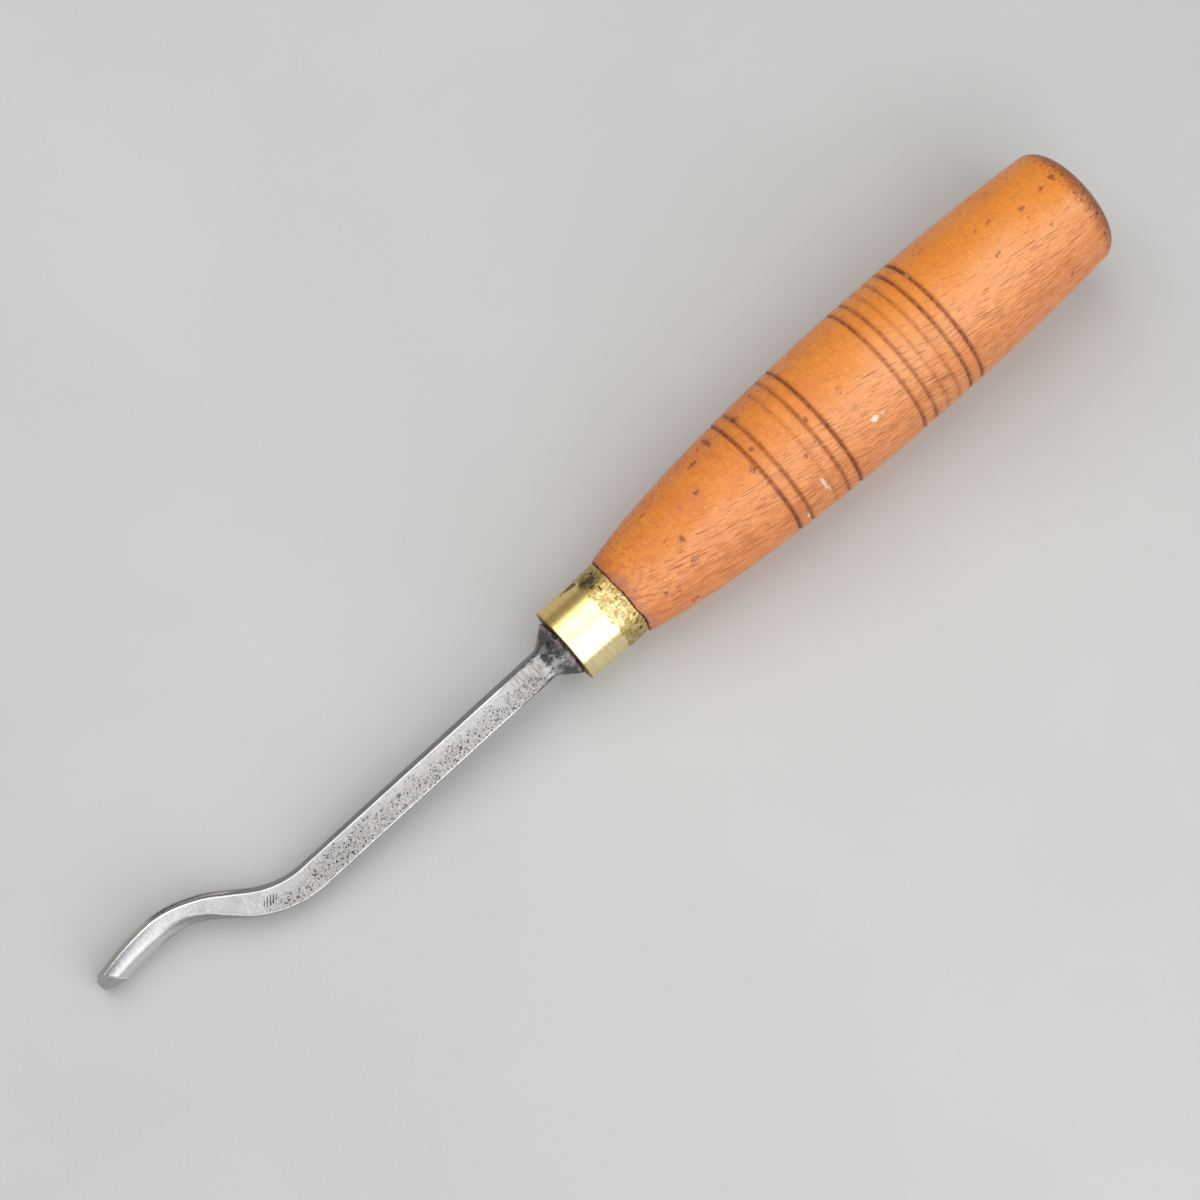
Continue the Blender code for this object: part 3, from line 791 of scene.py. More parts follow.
dense = w.span(low_side, 0.3, 0.95, 0.16, 0.88)
rays, small_rays = (
    w.marks(1.0, 0.52, dense, ragged, w.vector("MULTIPLY", grain, tuple(1 / side for side in sides)))
    for sides, ragged in ((RAY_SIZE, 0.05), (SMALL_RAY_SIZE, 0.06))
)
flakes = w.lines((2.4, 1.3, 0.3), 0.5, 0.64, grain)
pores = w.lines((0.9, 8.0, 3.0), 0.42, 0.66, grain)
streaks = w.lines((0.2, 2.4, 1.2), 0.44, 0.68, grain)
# Painted sheen: pale streaks along the grain.
sheen_streaks = w.lines((0.45, 3.6, 2.0), 0.44, 0.7, other_grain)
mottle = w.lines((0.35, 1.1, 0.8), 0.34, 0.7, grain)
fray = w.cloud(0.8, 0.25, 0.75)

warp = w.vector("MULTIPLY", w.noise(w.place, 0.5, 3.0)["Color"], (2.4, 2.4, 2.4))
warped = w.vector("ADD", w.place, warp)
arcs = []
for place, degrees, radius, inner, outer, spacing in CURLS:
    centre = on_handle(place, degrees, radius) + Vector((1.2, 1.2, 1.2))
    away = w.vector("LENGTH", w.vector("DIVIDE", w.vector("SUBTRACT", warped, centre), (1.5, 1.0, 1.0)))
    ripple = w.span(w.math("SINE", w.times(away, 2 * math.pi / spacing)), 0.1, 1.0)
    arcs.append(w.times(ripple, w.span(away, outer, 0.75 * outer), w.span(away, 0.7 * inner, inner)))
curl = w.times(w.most(*arcs), mottle)
print("beech patterns:", len(w.tree.nodes), "nodes")

# %% The beech's grain in colour
# Darker brown streaks toward the low side and, more strongly, toward the bend side.
darker_flanks = w.plus(w.span(low_side, 0.82, 1.02, 0.0, 0.2), w.span(bend_side, 0.74, 1.0, 0.0, 0.6))
# Painted sheen: the rear half is paler, less so toward the low side.
rear_painted_sheen = w.times(w.span(x, 44.0, 84.0, 0.1, 0.42), w.span(low_side, 0.5, 1.0, 1.0, 0.3))
dashes = w.most(w.times(rays["Mark"], w.fade(rays["Tone"], 0.6, 1.0)), w.times(small_rays["Mark"], 0.75))
wood = w.layers(w.colour(gold, BEECH_PINK, BEECH_GOLD), (
    (BEECH_DEEP, drift, 0.2),
    (BEECH_BLUSH, w.cloud(5.0, 0.46, 0.7, other_grain), w.fade(gold, 0.36, 0.58)),
    (BEECH_SHEEN_PALE, sheen_streaks, w.fade(gold, 0.72, 0.16)),
    (BEECH_DEEP, mottle, 0.3),
    (BEECH_DEEP, streaks, w.span(low_side, 0.5, 1.0, 0.2, 0.5)),
    (BEECH_BROWN, darker_flanks, w.fade(streaks, 0.6, 1.1)),
    (BEECH_DEEP, pores, 0.42),
    (BEECH_BROWN, curl, 0.6),
    (BEECH_BROWN, flakes, w.span(gold, 0.2, 1.0, 0.05, 0.42)),
    (w.colour(gold, BEECH_SHEEN_PALE, BEECH_GOLD), rear_painted_sheen),
    (BEECH_BLUSH, w.cloud(0.3, 0.42, 0.62, grain), 0.28),
    (FLECK_BROWN, dashes, w.fade(gold, 1.0, 0.22)),
))
print("beech with its grain:", len(w.tree.nodes), "nodes")

# %% The beech's wear
knock = w.painted("knock")
torn = w.times(w.minus(fray, 0.5), w.span(knock, 0.02, 0.3, 0.0, 0.7))
bruise = w.span(w.plus(knock, torn), 0.12, 0.66)
groove = w.times(w.painted("groove"), w.fade(fray, 0.7, 1.12))
stain = w.span(w.plus(x, w.times(fray, 2.2)), 18.4, 15.8)
seam = w.span(w.plus(w.painted("seam"), w.times(fray, 0.9)), 0.75, 1.6)
# The tenon's end, in the recess between bolster and ferrule: dark end grain and painted shade.
tenon_end_grain_and_shade = w.span(x, 2.0, 0.5, 0.0, 0.8)
butt = w.span(w.plus(x, w.times(fray, 2.0)), 127.0, 131.0)
soiled = w.most(w.span(x, 125.4, 129.2), w.span(bend_side, 0.8, 0.97, 0.0, 0.5))
rim_dots = w.times(w.marks(0.85, 0.6, 0.5, 0.7)["Mark"], soiled)
drips = []
for place, degrees, radius, reach, left in PAINT_DRIPS:
    drip = w.mark_at(on_handle(place, degrees, radius), reach, 1.2)
    drips.append(w.times(drip, w.span(fray, 0.0, 0.9, 2 * left - 1.0, left)))
paint = w.most(*drips, 0.0)
wood = w.layers(wood, (
    (BRUISE_BROWN, bruise, 0.78),
    (GROOVE_BROWN, w.math("MINIMUM", groove, 0.92)),
    (BEECH_BROWN, stain, w.span(bend_side, -0.5, 0.6, 0.1, 0.8), w.fade(streaks, 0.7, 1.1)),
    (STAIN_MAUVE, stain, w.span(bend_side, 0.9, 0.3), w.fade(mottle, 0.3, 0.75)),
    (SEAM_BROWN, w.most(seam, tenon_end_grain_and_shade)),
    (END_GRAIN, butt, 0.85),
    (END_SPECK, rim_dots, 0.8),
    (OLD_PAINT, paint),
))
print("beech with its wear:", len(w.tree.nodes), "nodes")

# %% The varnished handle
rough = w.plus(w.fade(fray, 0.4, 0.5), w.times(w.most(bruise, groove), 0.16))
open_rays = w.times(w.most(rays["Mark"], small_rays["Mark"]), -0.5)
height = w.plus(open_rays, w.times(pores, -0.35), w.times(fray, 0.4), w.times(paint, 1.6))
w.dress({
    "Base Color": wood,
    "Roughness": w.value(paint, rough, 0.6),
    "Normal": w.bump(w.minus(height, rim_dots), 0.35, 0.05 * MM),
    "Specular IOR Level": 0.3,
    "Coat Weight": 0.08,
    "Coat Roughness": 0.3,
})
handle_values = {"knock": knock_dark, "groove": groove_dirt, "seam": seam_dirt}
skinned("beech_handle", handle_points, handle_values, w.material, "handle")

# %% [markdown]
# The ferrule is a short brass tube pressed over the tenon so that the wood can't split. Its front edge
# was eased, and its rear edge was cut by hand and is a little wavy against the wood. The profile is spun
# into a closed tube, and the waves grow only over the last millimetres.

# %% The rings of the ferrule
FERRULE_EASE = 0.28
FERRULE_REAR_EDGE = 0.12
FERRULE_INSET = 0.02
FERRULE_SWING = 0.02
BORE_RING = 7.0
WAVES_FROM = 9.0


def ferrule_rings():
    bore = FERRULE_FRONT_RADIUS - FERRULE_WALL
    profile = [(0.0, bore), (0.0, FERRULE_FRONT_RADIUS - FERRULE_EASE)]
    for step in np.linspace(0.15, 1.0, 5) * math.pi / 2:
        lower = FERRULE_EASE * (1 - math.sin(step))
        profile.append((FERRULE_EASE * (1 - math.cos(step)), FERRULE_FRONT_RADIUS - lower))
    for x in np.linspace(0.7, FERRULE_LENGTH - FERRULE_REAR_EDGE, 40):
        share = x / FERRULE_LENGTH
        profile.append((x, FERRULE_FRONT_RADIUS + (FERRULE_REAR_RADIUS - FERRULE_FRONT_RADIUS) * share))
    profile.append((FERRULE_LENGTH, FERRULE_REAR_RADIUS - FERRULE_REAR_EDGE))
    profile += [(FERRULE_LENGTH, bore), (BORE_RING, bore)]
    rings = []
    for x, radius in profile:
        late = max(0.0, (x - WAVES_FROM) / (FERRULE_LENGTH - WAVES_FROM)) ** 3
        worn = FERRULE_SWING * waves(8, 6) if radius > bore + 0.5 else 0.0
        rings.append(ring_at(x + late * ferrule_wave, radius - FERRULE_INSET + worn))
    return np.array(rings)


ferrule_points = ferrule_rings()
print("ferrule rings:", ferrule_points.shape)

# %% [markdown]
# The brass was turned bright, and fingers keep the front of it polished. A paler, whiter strip along the
# top, where the panels' reflection lies, is a painted highlight. Next to the wood a sharp line starts a
# band that nobody rubs, which is brown, mottled and spotted black. The front face, in the recess by the
# bolster, is darkened brown: partly tarnish, partly painted shade. Lathe lines run round it: they change
# the gloss and the colour a little, and the bump carries them into the reflections.

# %% The brass's colours and known spots
BRASS_PALE = rgb(0.92, 0.79, 0.45)
BRASS_GOLD = rgb(0.92, 0.66, 0.26)
# Paler, whiter brass of the painted highlight strip along the top.
BRASS_PAINTED_HIGHLIGHT = rgb(0.95, 0.88, 0.62)
BRASS_DULL = rgb(0.52, 0.39, 0.145)
BRASS_TARNISH = rgb(0.25, 0.155, 0.042)
BRASS_BLACK = rgb(0.03, 0.026, 0.013)
# Dark brown of the rear joint, and of the front face, where it is partly painted shade.
BRASS_EDGE = rgb(0.15, 0.07, 0.03)
# Each row: place along the ferrule, turn round it, and half sizes.
BRASS_SPOTS = (
    (11.5, 57.0, (1.15, 1.3, 1.3)),
    (10.1, 61.0, (0.95, 0.8, 0.8)),
    (12.6, 66.0, (0.6, 0.6, 0.6)),
    (11.8, 36.0, (0.3, 0.6, 0.6)),
    (11.0, 45.0, (0.7, 0.4, 0.4)),
    (6.4, 79.0, (1.1, 0.6, 0.5)),
    (7.6, 78.0, (1.1, 1.0, 0.95)),
    (8.6, 77.0, (0.8, 1.4, 1.3)),
    (12.9, -48.0, (0.5, 0.5, 0.5)),
)
# One broad brown cloud round the black spots: its place, turn and half sizes.
BRASS_CLOUD = (11.0, 60.0, (2.4, 3.0, 3.0))

w = Finish("turned_brass")
x, y, _ = w.split(w.place)
lathe = w.lines((9.0, 0.16, 0.16), 0.3, 0.72)
coarse = w.lines((1.6, 0.1, 0.1), 0.35, 0.7)
mottle = w.cloud(1.6, 0.36, 0.66)
crumbs = w.cloud(0.55, 0.42, 0.64)
flow = w.cloud(4.0, 0.35, 0.68)
band = w.span(w.plus(x, w.times(mottle, 0.6)), 9.3, 10.0)


def brass_mark(row, ragged):
    place, degrees, reach = row
    return w.mark_at(on_handle(place, degrees, FERRULE_REAR_RADIUS), reach, ragged)


specks = w.times(w.marks(1.3, 0.5, 0.32, 1.3)["Mark"], w.times(band, 0.3))
spots = w.most(specks, *(brass_mark(row, 1.7) for row in BRASS_SPOTS))
print("brass patterns:", len(w.tree.nodes), "nodes")

# %% The turned brass ferrule
# Painted highlight: a paler strip along the top, where the panels' reflection lies.
painted_highlight_strip = w.times(w.span(y, -4.6, -3.2), w.span(y, 5.0, 3.4))
dull = w.times(band, w.fade(mottle, 0.38, 0.97))
brown = w.times(band, w.times(crumbs, w.fade(flow, 0.4, 0.95)))
veins = w.math("ABSOLUTE", w.minus(w.noise(w.place, 0.8, 3.0)["Fac"], 0.5))
rear = w.span(w.plus(x, w.times(crumbs, 0.4)), 14.1, 14.6)
# The front face and its eased edge: partly brown tarnish, partly painted shade of the recess by the
# bolster.
front_tarnish_and_shade = w.span(w.plus(x, w.times(crumbs, 0.1)), 0.36, 0.14)
brass = w.layers(w.colour(w.span(y, -1.0, 5.5), BRASS_PALE, BRASS_GOLD), (
    (BRASS_PAINTED_HIGHLIGHT, painted_highlight_strip, 0.5),
    (BRASS_DULL, lathe, 0.22),
    (BRASS_DULL, coarse, 0.3),
    (BRASS_DULL, dull),
    (BRASS_TARNISH, brown),
    (BRASS_TARNISH, brass_mark(BRASS_CLOUD, 1.4), w.fade(mottle, 0.3, 0.85)),
    (BRASS_TARNISH, w.span(veins, 0.03, 0.0), band, 0.6),
    (BRASS_BLACK, spots, 0.92),
    (BRASS_EDGE, rear, 0.75),
    (BRASS_EDGE, front_tarnish_and_shade, 0.9),
))
gloss = w.plus(w.fade(lathe, 0.24, 0.33), w.times(dull, 0.15), w.times(w.most(spots, brown), 0.2))
height = w.plus(w.times(lathe, 0.3), w.times(coarse, 0.35), w.times(dull, w.times(crumbs, -1.4)))
w.dress({
    "Base Color": brass,
    "Roughness": gloss,
    "Metallic": w.minus(w.fade(spots, 1.0, 0.25), w.times(front_tarnish_and_shade, 0.6)),
    "Normal": w.bump(w.minus(height, spots), 0.3, 0.03 * MM),
})
skinned("brass_ferrule", ferrule_points, {}, w.material, "ferrule", closed_loop=True)

# %% [markdown]
# The blade is one forging: a square tang, the flare of the bolster, a ground shank that thins toward the
# first bend, the S-bend, and the fluted end with its bevel. Its section changes all the way, so it is a
# row of sections along a bent spine, in the same sizes as the CAD source but for softer rims. Between the
# stations the section is averaged over a short run, which leaves the soft transitions that a forging has.

# %% The spine of the blade
BOLSTER_LENGTH = 4.3
SHANK_LENGTH = 63.0
SHANK_SET = math.radians(1.0)
RAMP_ANGLE = math.radians(37.0)
FIRST_BEND_RADIUS = 20.0
RAMP_LENGTH = 5.8
CREST_RADIUS = 19.3
END_RADIUS = 62.0
END_LENGTH = 13.5
EDGE_WIDTH = 6.35
# Each row: the length of one run of the spine and its turn for each millimetre.
SPINE = (
    (SHANK_LENGTH - BOLSTER_LENGTH, 0.0),
    (FIRST_BEND_RADIUS * (RAMP_ANGLE + SHANK_SET), 1.0 / FIRST_BEND_RADIUS),
    (RAMP_LENGTH, 0.0),
    (CREST_RADIUS * RAMP_ANGLE, -1.0 / CREST_RADIUS),
    (END_LENGTH + EDGE_WIDTH, -1.0 / END_RADIUS),
)


def spine(along):
    """Place and heading of the spine toward the tip: (x, y, angle above the handle's axis)."""
    if along <= BOLSTER_LENGTH:
        return -FIT_GAP - along, 0.0, 0.0
    x, y, heading = -FIT_GAP - BOLSTER_LENGTH, 0.0, -SHANK_SET
    left = along - BOLSTER_LENGTH
    for length, turn in SPINE:
        run = min(left, length)
        half = 0.5 * turn * run
        chord = run * (math.sin(half) / half if half else 1.0)
        x -= chord * math.cos(heading + half)
        y += chord * math.sin(heading + half)
        heading += turn * run
        left -= run
        if left <= 0.0:
            break
    return x, y, heading


print("the first bend starts at", rounded(spine(SHANK_LENGTH), 2))

# %% The sections of the blade
FOOT = SHANK_LENGTH + SPINE[1][0]
HEAD = FOOT + RAMP_LENGTH
CREST = HEAD + SPINE[3][0]
THROAT_SHARE = 0.42
THROAT = HEAD + THROAT_SHARE * (CREST - HEAD)
TIP = CREST + END_LENGTH
FLUTE_DEPTH = 2.6
FLUTE_RIM = 0.75
FLUTE_NARROWING = 0.35
BACK_HEIGHT = 3.05
BACK_FULLNESS = 0.95
BACK_KEEL = 0.25
EASE = 0.3
RIM_EASE = 0.42
RIM_LEAN = 0.15
SOFT_RUN = 0.7
SHARP_COLLAR = 0.6


def plain_section(along, height, depth, edge):
    return (along, height, depth, edge, edge, edge, 0.0, 0.0)


def hollow_section(along, height, depth, share):
    back_side = EASE + (BACK_FULLNESS * depth / 2 - EASE) * share
    back_height = EASE + (BACK_HEIGHT - EASE) * share
    return (along, height, depth, RIM_EASE, back_side, back_height, FLUTE_DEPTH * share, RIM_LEAN * share)


# Each row: along the spine, height in the plane of the bend, depth across it, eased edge, the back's
# rounding to the side and in height, how deep the flute is, and how far its rims lie inside the widest
# line.
SECTIONS = np.array((
    plain_section(0.0, 12.0, 12.0, 5.82),
    plain_section(0.35, 12.4, 12.4, 6.014),
    plain_section(BOLSTER_LENGTH, 5.8, 5.9, 1.45),
    plain_section(6.5, 5.7, 6.0, 0.62),
    plain_section(8.9, 5.58, 6.12, 0.38),
    plain_section(10.5, 5.5, 6.2, EASE),
    plain_section(SHANK_LENGTH, 5.66, 4.7, EASE),
    plain_section(FOOT, 4.7, 5.2, EASE),
    hollow_section(HEAD, 4.5, 5.5, 0.3),
    hollow_section(THROAT, 4.4, 5.7, 0.68),
    hollow_section(CREST, 5.2, 6.0, 1.0),
    hollow_section(TIP, 4.6, EDGE_WIDTH, 1.0),
))


def section_at(along):
    """The seven sizes of the section at one place, averaged over a short run."""
    run = min(SOFT_RUN, max(0.0, 0.5 * (along - SHARP_COLLAR)), max(0.0, 0.5 * (TIP - along)))
    reaches = along + run * np.linspace(-1.0, 1.0, 7)
    return [float(np.mean(np.interp(reaches, SECTIONS[:, 0], SECTIONS[:, k]))) for k in range(1, 8)]


print("the spine is", round(TIP, 2), "mm long and has", len(SECTIONS), "stations")

# %% Points round one section
CORNER_STEPS = 10
FLUTE_STEPS = 18
FLAT_STEPS = 8
FLUTE_TURNS = [math.pi * (i / FLUTE_STEPS - 0.5) for i in range(FLUTE_STEPS + 1)]


def flute_point(section, turn):
    """A point of the flute, turned from its bottom toward a rim: (height above the spine, side)."""
    height, depth, edge, _, _, flute, lean = section
    side = depth / 2
    narrowed = FLUTE_NARROWING + (1.0 - FLUTE_NARROWING) * flute / FLUTE_DEPTH
    half_width = min(side - lean - edge, side - FLUTE_RIM) * narrowed
    return height / 2 - flute * math.cos(turn), half_width * math.sin(turn)


def between(first, last, steps):
    """Points inside a side that leaves its first end at a lean and meets its last end upright."""
    points = []
    for i in range(1, steps):
        share = i / steps
        bulge = 1.0 - (1.0 - share) ** 2
        points.append((first[0] + (last[0] - first[0]) * share, first[1] + (last[1] - first[1]) * bulge))
    return points


def outer_points(section):
    """The outside from the rim at +Z round the back to the rim at -Z, with extra points along the flats."""
    height, depth, edge, back_side, back_height, flute, lean = section
    top, side = height / 2, depth / 2
    rim_side = side - lean
    keel = 1.0 + BACK_KEEL * flute / FLUTE_DEPTH
    quarter = [0.5 * math.pi * i / CORNER_STEPS for i in range(CORNER_STEPS + 1)]
    rim = [(top - edge * (1 - math.cos(a)), rim_side - edge * (1 - math.sin(a))) for a in quarter]
    back = []
    for a in quarter:
        rise = 1 - math.sin(a) ** keel
        draw = 1 - max(0.0, math.cos(a)) ** keel
        back.append((-top + back_height * rise, side - back_side * draw))
    half = rim + between(rim[-1], back[0], FLAT_STEPS) + back
    other = [(h, -z) for h, z in reversed(half)]
    under_side = half[-1][1]
    under = [(-top, under_side * (1 - 2 * i / FLAT_STEPS)) for i in range(1, FLAT_STEPS)]
    return half + under + other


def all_points(section):
    return outer_points(section) + [flute_point(section, turn) for turn in FLUTE_TURNS]


def placed(along, point):
    x, y, heading = spine(along)
    height, z = point
    return (x + height * math.sin(heading), y + height * math.cos(heading), z)


OUTER_COUNT = len(outer_points(section_at(TIP)))
print("each section has", OUTER_COUNT, "points outside and", FLUTE_STEPS + 1, "in the flute")

# %% [markdown]
# The bevel is ground on the back of the flute until it meets it in the cutting edge, which bows out a
# little. It is short at the rims, where the wall is thin, and long at the back, so its heel runs down the
# side as one slanting line. A stone rounds it slightly from heel to edge.

# %% The bevel
BEVEL_AT_RIM = 1.3
BEVEL_AT_BACK = 4.1
CUTTING_LAND = 0.1
EDGE_BOW = 0.8
EDGE_BOW_FULLNESS = 0.6
tip_section = section_at(TIP)
# How far down the tip's section each point of its outside lies: 0 at the rims and 1 at the back.
DOWN_PLACES = np.array([0.5 - height / tip_section[0] for height, _ in outer_points(tip_section)])


def bowed(turn):
    """How far along the spine the cutting edge lies: most in the middle, least at the rims."""
    return TIP + EDGE_BOW * max(0.0, math.cos(turn)) ** EDGE_BOW_FULLNESS


def bevel_rows():
    """The ring along the bevel's heel and the ring along the cutting edge."""
    heel, edge = [], []
    for i, point in enumerate(outer_points(tip_section)):
        below_rim = tip_section[0] / 2 - point[0]
        turn = math.atan2(point[1], below_rim)
        inner = flute_point(tip_section, turn)
        share = CUTTING_LAND / math.dist(point, inner)
        land = (inner[0] + (point[0] - inner[0]) * share, inner[1] + (point[1] - inner[1]) * share)
        start = TIP - BEVEL_AT_RIM - (BEVEL_AT_BACK - BEVEL_AT_RIM) * below_rim / tip_section[0]
        heel.append(placed(start, outer_points(section_at(start))[i]))
        edge.append(placed(bowed(turn), land))
    middle = TIP - 0.5 * BEVEL_AT_BACK
    for turn in FLUTE_TURNS:
        heel.append(placed(middle, flute_point(section_at(middle), turn)))
        edge.append(placed(bowed(turn), flute_point(tip_section, turn)))
    return np.array(heel), np.array(edge)


heel_ring, edge_ring = bevel_rows()
print("the cutting edge reaches x =", round(float(edge_ring[:, 0].min()), 2))

# %% The rows of rings
BEVEL_SWELL = 0.28
BEVEL_MARGIN = 1.15
TANG_EDGE_SHARE = 0.12
NECK_END = 11.5
COLLAR_STOPS = (0.0, 0.12, 0.25, 0.35)
# Shares of the way to the heel, and from the heel to the cutting edge.
HEEL_SHARES = (0.35, 0.7, 0.92)
BEVEL_SHARES = (0.0, 0.06, 0.25, 0.5, 0.75, 1.0)


def tang_row(x, half):
    edge = TANG_EDGE_SHARE * 2 * half
    section = (2 * half, 2 * half, edge, edge, edge, 0.0, 0.0)
    return np.array([(x, height, z) for height, z in all_points(section)])


def blade_rows():
    last = TIP - BEVEL_MARGIN * BEVEL_AT_BACK
    stops = [*COLLAR_STOPS, *np.linspace(0.5, BOLSTER_LENGTH, 26)]
    stops += list(np.linspace(BOLSTER_LENGTH, NECK_END, 62)[1:])
    stops += list(np.linspace(NECK_END, SHANK_LENGTH, 100)[1:])
    stops += list(np.linspace(SHANK_LENGTH, last, 110)[1:])
    rows = [tang_row(TANG_LENGTH, TANG_TIP_HALF), tang_row(-FIT_GAP, TANG_ROOT_HALF)]
    rows += [np.array([placed(stop, point) for point in all_points(section_at(stop))]) for stop in stops]
    along = [-TANG_LENGTH, -0.1, *stops]
    body = rows[-1]
    for share in HEEL_SHARES:
        rows.append(body + (heel_ring - body) * share)
        along.append(last + share)
    way_out = edge_ring[:OUTER_COUNT] - heel_ring[OUTER_COUNT:].mean(axis=0)
    way_out /= np.linalg.norm(way_out, axis=1)[:, None]
    for share in BEVEL_SHARES:
        row = heel_ring + (edge_ring - heel_ring) * share
        row[:OUTER_COUNT] += BEVEL_SWELL * 4.0 * share * (1.0 - share) * DOWN_PLACES[:, None] * way_out
        rows.append(row)
        along.append(TIP - 1.0 + share)
    return np.array(rows), np.array(along)


blade_points, blade_along = blade_rows()
print("blade rings:", blade_points.shape)

# %% [markdown]
# Five values are stored at the blade's points for its material: hollow is 1 in the flute, bevel is 1 on
# the bevel, down says how far a point lies from the rims toward the back, sideways is 0 on the flats that
# look up or down and 1 on the sides, where the material paints shade, and the fifth is 1 along the
# corners that years of handling have worn bright and along the bevel's heel, where it paints a highlight
# line.

# %% Values stored on the blade
HEEL_ROWS = 2
BEVEL_ROWS = len(BEVEL_SHARES)
# Along the spine: where the rubbed corners start, where they are full, and where the lower ones grow.
RUBBED_FROM = 9.0
RUBBED_FULL = 14.0
RUBBED_GROWS = 50.0
# Shares: the lower corners' rubbing on the shank and at the throat, and the sides' painted shade on the
# ramp.
RUBBED_LOWER = 0.97
RUBBED_AT_THROAT = 0.93
DARK_ON_RAMP = 0.4


def for_all_rings(numbers):
    return np.tile(np.concatenate(numbers), (len(blade_along), 1))


flute_count = FLUTE_STEPS + 1
hollow = for_all_rings([np.zeros(OUTER_COUNT), np.ones(flute_count)])
down = for_all_rings([DOWN_PLACES, np.zeros(flute_count)])
bevel = np.zeros_like(hollow)
bevel[-BEVEL_ROWS:, :OUTER_COUNT] = 1.0

half_turn = np.linspace(1.0, 0.0, CORNER_STEPS + 1)
one_side = np.concatenate([half_turn, np.zeros(FLAT_STEPS - 1), half_turn[::-1]])
outer_sideways = np.concatenate([one_side, np.ones(FLAT_STEPS - 1), one_side[::-1]])
sideways = for_all_rings([outer_sideways, np.ones(flute_count)])

outer_rubbed = np.zeros(OUTER_COUNT)
# Each row: where a corner starts, and a power that widens its bright line.
for start, fullness in ((0, 2), (CORNER_STEPS + FLAT_STEPS, 3)):
    for mirrored in (start, OUTER_COUNT - 1 - start - CORNER_STEPS):
        corner = slice(mirrored, mirrored + CORNER_STEPS + 1)
        outer_rubbed[corner] = 1.0 - outer_sideways[corner] ** fullness
rubbed_and_glint = for_all_rings([outer_rubbed, np.zeros(flute_count)])
rubbed_and_glint *= np.interp(blade_along, (RUBBED_FROM, RUBBED_FULL), (0.0, 1.0))[:, None]
lower_corners = slice(CORNER_STEPS + FLAT_STEPS, OUTER_COUNT - CORNER_STEPS - FLAT_STEPS)
soft_back = np.interp(blade_along, (HEAD, THROAT, CREST), (1.0, RUBBED_AT_THROAT, 0.0))
to_bend = np.interp(blade_along, (RUBBED_GROWS, SHANK_LENGTH), (RUBBED_LOWER, 1.0))
rubbed_and_glint[:, lower_corners] *= (soft_back * to_bend)[:, None]
rubbed_and_glint[-BEVEL_ROWS:, :OUTER_COUNT] = 0.0
# The bevel's heel is marked as a bright line: a painted highlight.
rubbed_and_glint[-BEVEL_ROWS:-BEVEL_ROWS + HEEL_ROWS, :OUTER_COUNT] = 1.0
# The lower corners keep their painted shade at the foot and the crest, and lose most of it on the ramp.
ramp_shade_share = np.interp(blade_along, (FOOT, HEAD, THROAT, CREST), (1.0, DARK_ON_RAMP, DARK_ON_RAMP, 1.0))
sideways[:, lower_corners] *= ramp_shade_share[:, None]
print("rubbed share of the blade's points:", round(float(rubbed_and_glint.mean()), 3))

# %% [markdown]
# The bolster was left as the hammer made it, with shallow, uneven facets. They are real dents, made by
# moving its points in or out with a slow noise that fades toward the collar and the neck.

# %% Hammer marks
HAMMERED_TO = BOLSTER_LENGTH + 1.0
HAMMER_STRENGTH = 0.5
HAMMER_DEPTH = 0.1
HAMMER_RISE = 0.6
HAMMER_FALL = 1.5
BROAD_DENTS = 0.6
SMALL_DENTS = 1.4


def hammered(point, along):
    """Moves one point of the bolster in or out along its own radius."""
    if not -0.05 < along < HAMMERED_TO:
        return point
    rise = min(1.0, max(0.0, along / HAMMER_RISE))
    fall = min(1.0, max(0.0, (HAMMERED_TO - along) / HAMMER_FALL))
    strength = HAMMER_STRENGTH * rise * fall
    bump = noise.noise(Vector(point) * BROAD_DENTS) + 0.5 * noise.noise(Vector(point) * SMALL_DENTS)
    swell = 1.0 + HAMMER_DEPTH * strength * bump
    return point * np.array((1.0, swell, swell))


plain_points = blade_points.copy()
for i, along in enumerate(blade_along):
    for j in range(OUTER_COUNT):
        blade_points[i, j] = hammered(blade_points[i, j], along)
print("deepest hammer mark:", round(float(np.abs(blade_points - plain_points).max()), 3), "mm")

# %% [markdown]
# The steel has three skins. The flats were ground and have dulled to a grey with many small rust pits,
# most of them on the side that lay lower, while their edges are rubbed bright. The bolster keeps its
# black scale from the forge, and the wheel stopped there in a ragged line: each flat of the shank runs
# out in a pointed oval between dark, rounded corners. The flute, which no rag reaches, has a film of
# rust. Fine lines from the wheel run across the shank, and a file once slipped over the first bend.
# Some light is painted into the colour: the side faces are darkened as painted shade, the back of the
# polished end is lightened as a painted reflection, the bevel is lighter toward its rims, the rim and
# the heel at the end are near white as painted highlights, and the bolster's face toward the lamps
# carries painted highlights.

# %% The steel's colours
STEEL_LIGHT = rgb(0.40, 0.40, 0.40)
STEEL_GREY = rgb(0.345, 0.34, 0.335)
STEEL_DULL = rgb(0.17, 0.158, 0.15)
STEEL_RUBBED = rgb(0.56, 0.56, 0.56)
# Near white: the painted highlight of the rim and heel lines at the end.
STEEL_PAINTED_GLINT = rgb(0.95, 0.95, 0.95)
STEEL_END = rgb(0.50, 0.50, 0.515)
# Painted reflection on the back of the polished end.
STEEL_BACK_PAINTED_SHINE = rgb(0.76, 0.76, 0.78)
# Freshly ground bevel, lighter toward the rims as painted light that evens out its shading.
BEVEL_RIM_LIGHTENED = rgb(0.42, 0.42, 0.415)
BEVEL_BACK = rgb(0.36, 0.36, 0.355)
